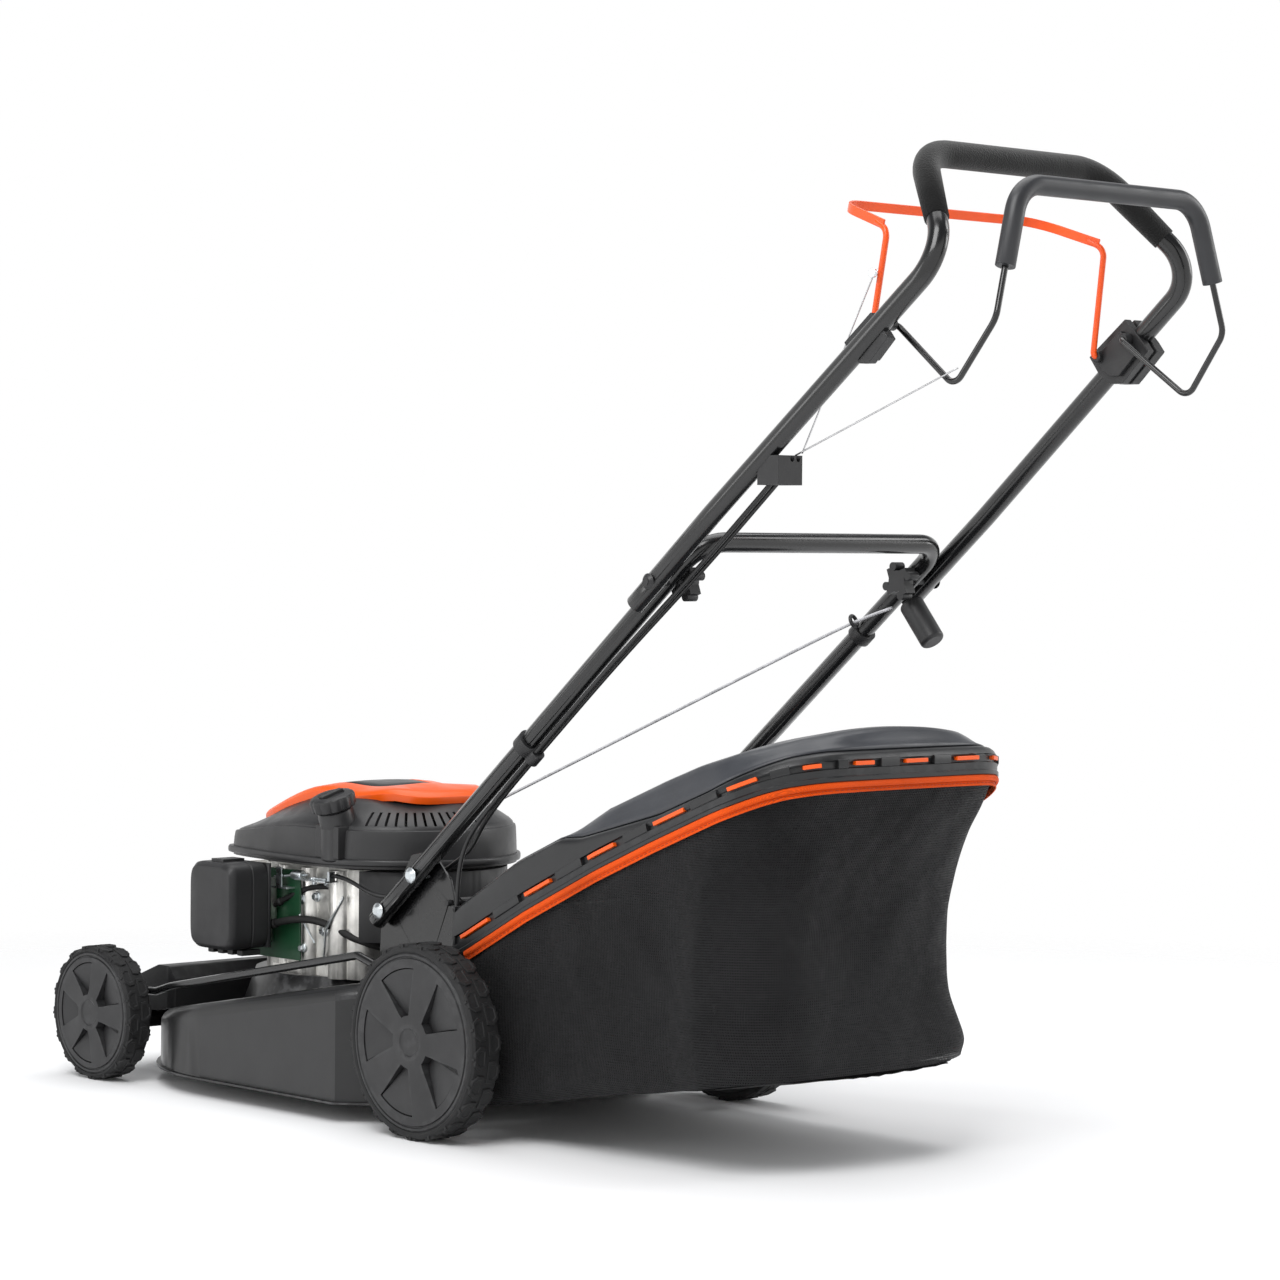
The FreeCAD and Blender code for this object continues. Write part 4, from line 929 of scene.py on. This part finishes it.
housings = [slab(HOUSING, share, x0, x1) for share, x0, x1 in
            ((0.86, -203, -196), (1.0, -198, -186), (0.9, -187, -180), (1.0, -181, -172),
             (0.7, -173, -167), (0.62, 171, 178), (0.74, 177, 187))]
housings += [lathe("pivot_boss", [(0, -5), (6, -5), (6, 4), (5, 5), (0, 5)], at(x, y, z),
                   ACROSS, 28)
             for x in (-166, 168) for y, z in ((561.5, 803.7), (595.4, 819.7))]
new_object("pivot_housings", housings, "black_plastic", "upper_handle", ["bail_housings"],
           edge=(1.4, 3))
wire_bolt = lathe("wire_bolt", [(0, -6), (4.5, -6), (4.5, -3), (2, -3), (2, 3), (4.5, 3),
                                (4.5, 6), (0, 6)], at(160, 569.5, 868), ACROSS, 24)
new_object("wire_bolt", wire_bolt, "zinc_steel", "brake_bail", edge=(0.4, 2))

# ---------------- grass bag


RIM = [(-4, 184), (16, 193), (108, 240.7), (214, 289.6), (296, 323.6), (366, 351), (407, 367),
       (432, 377.4), (449, 383.7), (466, 388), (476, 390), (500, 392)]
SKIRT_TOP = [(-4, 236), (89, 289.7), (157, 318.2), (188, 321), (299, 350), (368, 376),
             (425, 400), (453, 411.6), (472, 417), (480, 418), (500, 418)]
DOME_TOP = [(-4, 236), (89, 289.7), (150, 318), (178, 334), (207, 350), (284, 380), (332, 397),
            (383, 411), (430, 419), (462, 420), (500, 416)]
FLOOR = [(16, 30), (72, 38), (218, 64), (362, 85), (405, 92), (440, 96)]
BAG_HALF, BAG_FRONT, BAG_BACK, CORNER, BOW = 181, 16, 464, 88, 12


def bag_loop(half, front, back, corner, side_steps=46, arc=16, rear_steps=28):
    """The bag's plan from its left front edge round the bowed back to the right front edge."""
    points = [(half, front + (back - corner - front) * i / side_steps) for i in range(side_steps)]
    for i in range(arc + 1):
        a = math.pi / 2 * i / arc
        points.append((half - corner + corner * math.cos(a), back - corner + corner * math.sin(a)))
    wide = half - corner
    points += [(wide - 2 * wide * i / rear_steps, back) for i in range(1, rear_steps // 2 + 1)]
    bowed = [(x, y + BOW * ease((y - back + corner) / corner) * (1 - (x / half) ** 2))
             for x, y in points]
    return bowed + [(-x, y) for x, y in reversed(bowed[:-1])]


def rear_pull(share):
    """How far the rear wall stands in from the rim at a share of the way down."""
    return 52 * math.sin(min(share / 0.6, 1.0) * math.pi / 2) - 20 * ease((share - 0.76) / 0.24)


def wrinkle(y, z, side):
    """How far the cloth stands out of its plane: slack folds that run from the rim's corners."""
    broad = noise.noise(Vector((y * 0.011 + side * 9, z * 0.013, side * 3))) * 6.5
    slant = noise.noise(Vector((y * 0.03 + z * 0.024, z * 0.006 - y * 0.004, side * 5))) * 3.4
    fine = noise.noise(Vector((y * 0.055 - z * 0.03, z * 0.03, side * 8))) * 1.1
    return broad + slant + fine


def bag_skin():
    rows, loop = 44, bag_loop(BAG_HALF - 2, BAG_FRONT, BAG_BACK - 1, CORNER - 2)
    skin = []
    for r in range(rows + 1):
        t = r / rows
        row = []
        for x, y in loop:
            high = along_line(RIM, y) + 1
            back_share = ease((y - 310) / 120)
            py = y - rear_pull(t) * back_share
            low = along_line(FLOOR, min(py, 440)) + 1.5 + 6 * ease((-x - 60) / 110) * back_share
            z = high + (low - high) * t
            side = math.copysign(1, x)
            edge = ease((y - 16) / 60) * ease(t * 8) * ease((1 - t) * 12)
            sag = 4.5 * math.sin(math.pi * t) * ease((y - 16) / 80)
            slack = wrinkle(y, z, side) * (1 - back_share) + wrinkle(x, z, 2) * back_share
            push = slack * edge - sag
            tuck = 8 * ease((t - 0.94) / 0.06)
            px = x + side * (push - tuck) * (1 - back_share)
            py += (push * 0.8 - tuck) * back_share
            px *= 1 - 0.05 * back_share * math.sin(math.pi * min(t * 1.1, 1))
            row.append(at(px, py, z))
        skin.append(row)
    return skin


def unwrap(mesh, place):
    """Gives each corner of a mesh the cloth coordinates of its vertex, in metres."""
    layer = mesh.uv_layers.new(name="UVMap")
    for face in mesh.polygons:
        for loop_index, vertex in zip(face.loop_indices, face.vertices):
            layer.data[loop_index].uv = place(vertex, mesh.vertices[vertex].co)


skin = bag_skin()
walls = grid("bag_walls", skin)
count = len(skin[0])
arc_u = [0.0]
for a, b in zip(skin[0], skin[0][1:]):
    arc_u.append(arc_u[-1] + (b - a).length)
unwrap(walls, lambda vertex, co: (arc_u[vertex % count], co.z))
bag = new_object("bag_cloth", walls, "mesh_fabric", "grass_bag", ["bag_fabric"])
modify(bag, "SUBSURF", levels=1, render_levels=1)

floor_rows = []
for i in range(29):
    y = BAG_FRONT + (424 - BAG_FRONT) * i / 28
    width = 170 - 60 * ease((y - 350) / 74) ** 2
    floor_rows.append([at(x * width / 12, y,
                          along_line(FLOOR, y) + 2 - 4 * (1 - (x / 12) ** 2)
                          * ease((y - 16) / 60)
                          + 1.5 * noise.noise(Vector((x * 0.9, y * 0.03, 4))))
                       for x in range(-12, 13)])
front_rows = [[at(x * 171 / 12, BAG_FRONT + 1.5,
                  31 + ((118 if abs(x) < 9 else 195) - 31) * j / 6)
               for x in range(-12, 13)] for j in range(7)]
for name, rows_of in (("bag_floor", floor_rows), ("bag_front_panel", front_rows)):
    mesh = grid(name, rows_of)
    unwrap(mesh, lambda vertex, co: (co.x, co.y + co.z))
    panel = new_object(name, mesh, "mesh_fabric", "grass_bag", wall=(0.8, -1))


def rim_path(outset, below):
    """The rim's line round the bag, a little below or above it."""
    return [at(x, y, along_line(RIM, y) - below)
            for x, y in bag_loop(BAG_HALF + outset, BAG_FRONT, BAG_BACK + outset,
                                 CORNER + outset, 60, 20, 34)]


def band(name, outset, below, section):
    """A strip that runs round the rim, with cloth coordinates."""
    strip = sweep(name, rim_path(outset, below), section)
    unwrap(strip, lambda vertex, co: (co.x + co.y, co.z))
    return strip


piping = band("piping", 1.2, 3.0, [(-1.0, -3.0), (1.2, -3.2), (2.6, -1.8), (2.9, 0), (2.6, 1.8),
                                   (1.2, 3.2), (-1.0, 3.0)])
tape = band("tape", 0.4, 8.2, [(-0.6, -2.8), (0.7, -2.8), (0.9, 0), (0.7, 2.8), (-0.6, 2.8)])
new_object("bag_piping", [piping, tape], "orange_trim", "grass_bag", ["bag_binding"],
           edge=(0.4, 2))
STITCH_PITCH, STITCH_SHARE = 0.0048, 0.62
stitches = []
stitch_line = rim_path(1.5, 8.4)
for a, b in zip(stitch_line, stitch_line[1:]):
    runs = max(1, round((b - a).length / STITCH_PITCH))
    for n in range(runs):
        ends = [a.lerp(b, n / runs), a.lerp(b, (n + STITCH_SHARE) / runs)]
        stitches.append(sweep("stitch", ends, circle(0.35, 6)))
new_object("bag_stitching", stitches, THREAD, "grass_bag")


def lid_ring(inset):
    """The lid's plan, drawn in by an inset."""
    half = max(BAG_HALF + 2.5 - inset, 0.5)
    corner = max(CORNER + 2.5 - inset, 0.92 * min(half, CORNER))
    return bag_loop(half, -4, BAG_BACK + 2.5 - inset, corner, 46, 16, 28)


def lid_skirt():
    """The skirt's rows from its lower edge up to the ledge round the dome."""
    outer = lid_ring(0)
    rows = []
    for inset, share, rise in ((1.5, 0, -1.0), (-1.2, 0, 0.5), (-1.2, 0, 4.0), (0.2, 0, 5.4),
                               (0.0, 0, 12.0), (3.4, 0, 12.8), (3.4, 0, 20.6), (0.2, 0, 21.4),
                               (0.6, 1, -7.0), (3.2, 1, -2.6), (6.0, 1, -0.6), (10.0, 1, 0.0)):
        ring = lid_ring(inset)
        row = []
        for (x, y), (_, y_out) in zip(ring, outer):
            rim, top = along_line(RIM, y_out), along_line(SKIRT_TOP, y_out)
            z = rim + min(rise, top - rim - 7) if share == 0 else top + rise
            row.append(at(x, y, z))
        rows.append(row)
    return rows


def lid_top(first, last, steps):
    """Rows over the lid's top between two insets: a ledge, then the raised dome."""
    outer = lid_ring(0)
    rows = []
    for k in range(steps + 1):
        inset = first + (last - first) * k / steps
        row = []
        for (x, y), (_, y_out) in zip(lid_ring(inset), outer):
            base = along_line(SKIRT_TOP, y_out)
            dome = along_line(DOME_TOP, y) + 17 * (1 - (x / 150) ** 2) * ease((y - 150) / 150)
            share = ease((inset - 11) / 21)
            row.append(at(x, y, base + (dome - base) * share if y > 20 or share > 0 else base))
        rows.append(row)
    return rows


DOME_EDGE = 13
lid_rows = lid_skirt() + lid_top(10, DOME_EDGE, 2)
new_object("bag_lid_shell", grid("lid_look", lid_rows), "lid_plastic", "grass_bag", ["bag_lid"],
           wall=(2.4, -1), edge=(0.7, 2, math.radians(38)))
brow = [box_mesh("cheek", at(x, -4, 188), at(x + 42, -0.5, 236)) for x in (-183, 141)]
brow.append(box_mesh("lintel", at(-183, -4, 232), at(183, -0.5, 238)))
new_object("lid_front", brow, "lid_plastic", "grass_bag", edge=(0.6, 2))
new_object("lid_dome", grid("lid_dome", lid_top(DOME_EDGE - 0.4, BAG_HALF, 40)), PANEL_GREY,
           "grass_bag", wall=(2.0, 1))

SIDE_TABS = [(10, 54), (109, 150), (203, 247), (300, 343)]
CORNER_TABS = [(0.16, 0.4), (0.66, 0.86)]
REAR_TABS = [(-94, -58), (-17, 16), (57, 85)]
TAB_RISE = 16.7


def ledge_line(first, last, outset):
    """Points on the skirt's groove between two places on its plan, given as distances."""
    ring = bag_loop(BAG_HALF + 2.5 + outset, BAG_FRONT - 20, BAG_BACK + 2.5 + outset,
                    CORNER + 2.5 + outset, 80, 24, 60)
    travelled = 0.0
    line = []
    for (xa, ya), (xb, yb) in zip(ring, ring[1:]):
        if first <= travelled <= last:
            line.append(at(xa, ya, along_line(RIM, ya) + TAB_RISE))
        travelled += math.hypot(xb - xa, yb - ya)
    return line, travelled


STRAIGHT = BAG_BACK - CORNER - BAG_FRONT + 20
ARC = math.pi / 2 * (CORNER + 2.5)
whole = ledge_line(0, 0, 0)[1]
stops = [(y0 - BAG_FRONT + 20, y1 - BAG_FRONT + 20) for y0, y1 in SIDE_TABS]
stops += [(STRAIGHT + a * ARC, STRAIGHT + b * ARC) for a, b in CORNER_TABS]
stops += [(whole / 2 - x1, whole / 2 - x0) for x0, x1 in reversed(REAR_TABS)]
stops += [(whole - b, whole - a) for a, b in reversed(stops[:6])]

tabs, blocks = [], []
for (start, end), following in zip(stops, stops[1:] + [(whole - 6, whole)]):
    tabs.append(sweep("tab", ledge_line(start, end, 0.4)[0],
                      [(-4.5, -2.0), (1.0, -2.0), (1.0, 2.0), (-4.5, 2.0)]))
    between = ledge_line(end + 7, following[0] - 7, 0.0)[0]
    if len(between) > 2:
        blocks.append(sweep("block", between, [(-4, -4.4), (0.6, -4.4), (1.3, -3.4), (1.3, 3.2),
                                               (0.6, 4.4), (-4, 4.4)]))
new_object("lid_tabs", tabs, "orange_plastic", "grass_bag", edge=(0.6, 2))
new_object("lid_blocks", blocks, "lid_plastic", "grass_bag", edge=(0.6, 2))

# ---------------- stage, lights, camera

FLOOR_REACH, FADE_START, FADE_END = 2.2, 1.15, 2.1
floor_mesh = grid("floor", [[Vector((x * FLOOR_REACH, y * FLOOR_REACH, 0)) for x in (-1, 0, 1)]
                            for y in (-1, 0, 1)])
paper = Shader("floor_paper", specular=0.0)
paper.tint((0.965, 0.967, 0.972), 0.006, 3)
paper.gloss(0.75, 0.85)
distance = paper.add("ShaderNodeVectorMath", operation="LENGTH")
paper.tree.links.new(paper.coords.outputs["Object"], distance.inputs[0])
paper.put(paper.base, Alpha=paper.range(distance.outputs["Value"], 1.0, 0.0, FADE_START, FADE_END))
new_object("floor", floor_mesh, paper.material, None)

world = bpy.data.worlds.new("studio")
bpy.context.scene.world = world
world.use_nodes = True
nodes, links = world.node_tree.nodes, world.node_tree.links
sky = nodes.new("ShaderNodeTexCoord")
height = nodes.new("ShaderNodeSeparateXYZ")
shade = nodes.new("ShaderNodeValToRGB")
links.new(sky.outputs["Generated"], height.inputs["Vector"])
links.new(height.outputs["Z"], shade.inputs["Fac"])
links.new(shade.outputs["Color"], nodes["Background"].inputs["Color"])
low_sky, high_sky = shade.color_ramp.elements
low_sky.position, high_sky.position = 0.3, 0.55
low_sky.color, high_sky.color = (1.0, 1.0, 1.0, 1), (0.22, 0.225, 0.235, 1)


LIT_SPOT = Vector((0, 0, 0.4))


def soft_light(name, place, size, power):
    """A soft box, with its size in metres, that points at the mower's middle."""
    data = bpy.data.lights.new(name, "AREA")
    data.shape = "RECTANGLE"
    data.size, data.size_y = size
    data.energy = power
    lamp = linked(name, data)
    lamp.location = place
    lamp.rotation_euler = (LIT_SPOT - Vector(place)).to_track_quat("-Z", "Y").to_euler()


soft_light("key", (2.2, 1.0, 3.0), (2.0, 2.0), 80)
soft_light("overhead", (-0.5, -0.5, 3.4), (3.0, 3.0), 62)
soft_light("rim", (-2.6, 1.6, 1.8), (1.0, 2.2), 26)
soft_light("low_side", (3.0, -1.2, 1.0), (0.8, 1.8), 14)

VIEW_AZIMUTH, VIEW_RISE, VIEW_ROLL = (math.radians(v) for v in (137.12, 1.524, -0.521))
VIEW_FROM = (2724.6, 3014.6, 620.5)
camera_data = bpy.data.cameras.new("camera")
camera_data.lens = 107.235
camera_data.sensor_width = 36
camera_data.clip_end = 60
camera = linked("camera", camera_data)
behind = Vector((math.sin(VIEW_AZIMUTH) * math.cos(VIEW_RISE),
                 -math.cos(VIEW_AZIMUTH) * math.cos(VIEW_RISE), math.sin(VIEW_RISE)))
aim = (-behind).to_track_quat("-Z", "Y").to_matrix().to_4x4()
camera.matrix_world = (Matrix.Translation(at(*VIEW_FROM)) @ aim
                       @ Matrix.Rotation(-VIEW_ROLL, 4, "Z"))
bpy.context.scene.camera = camera
bpy.context.scene.view_settings.view_transform = "Standard"
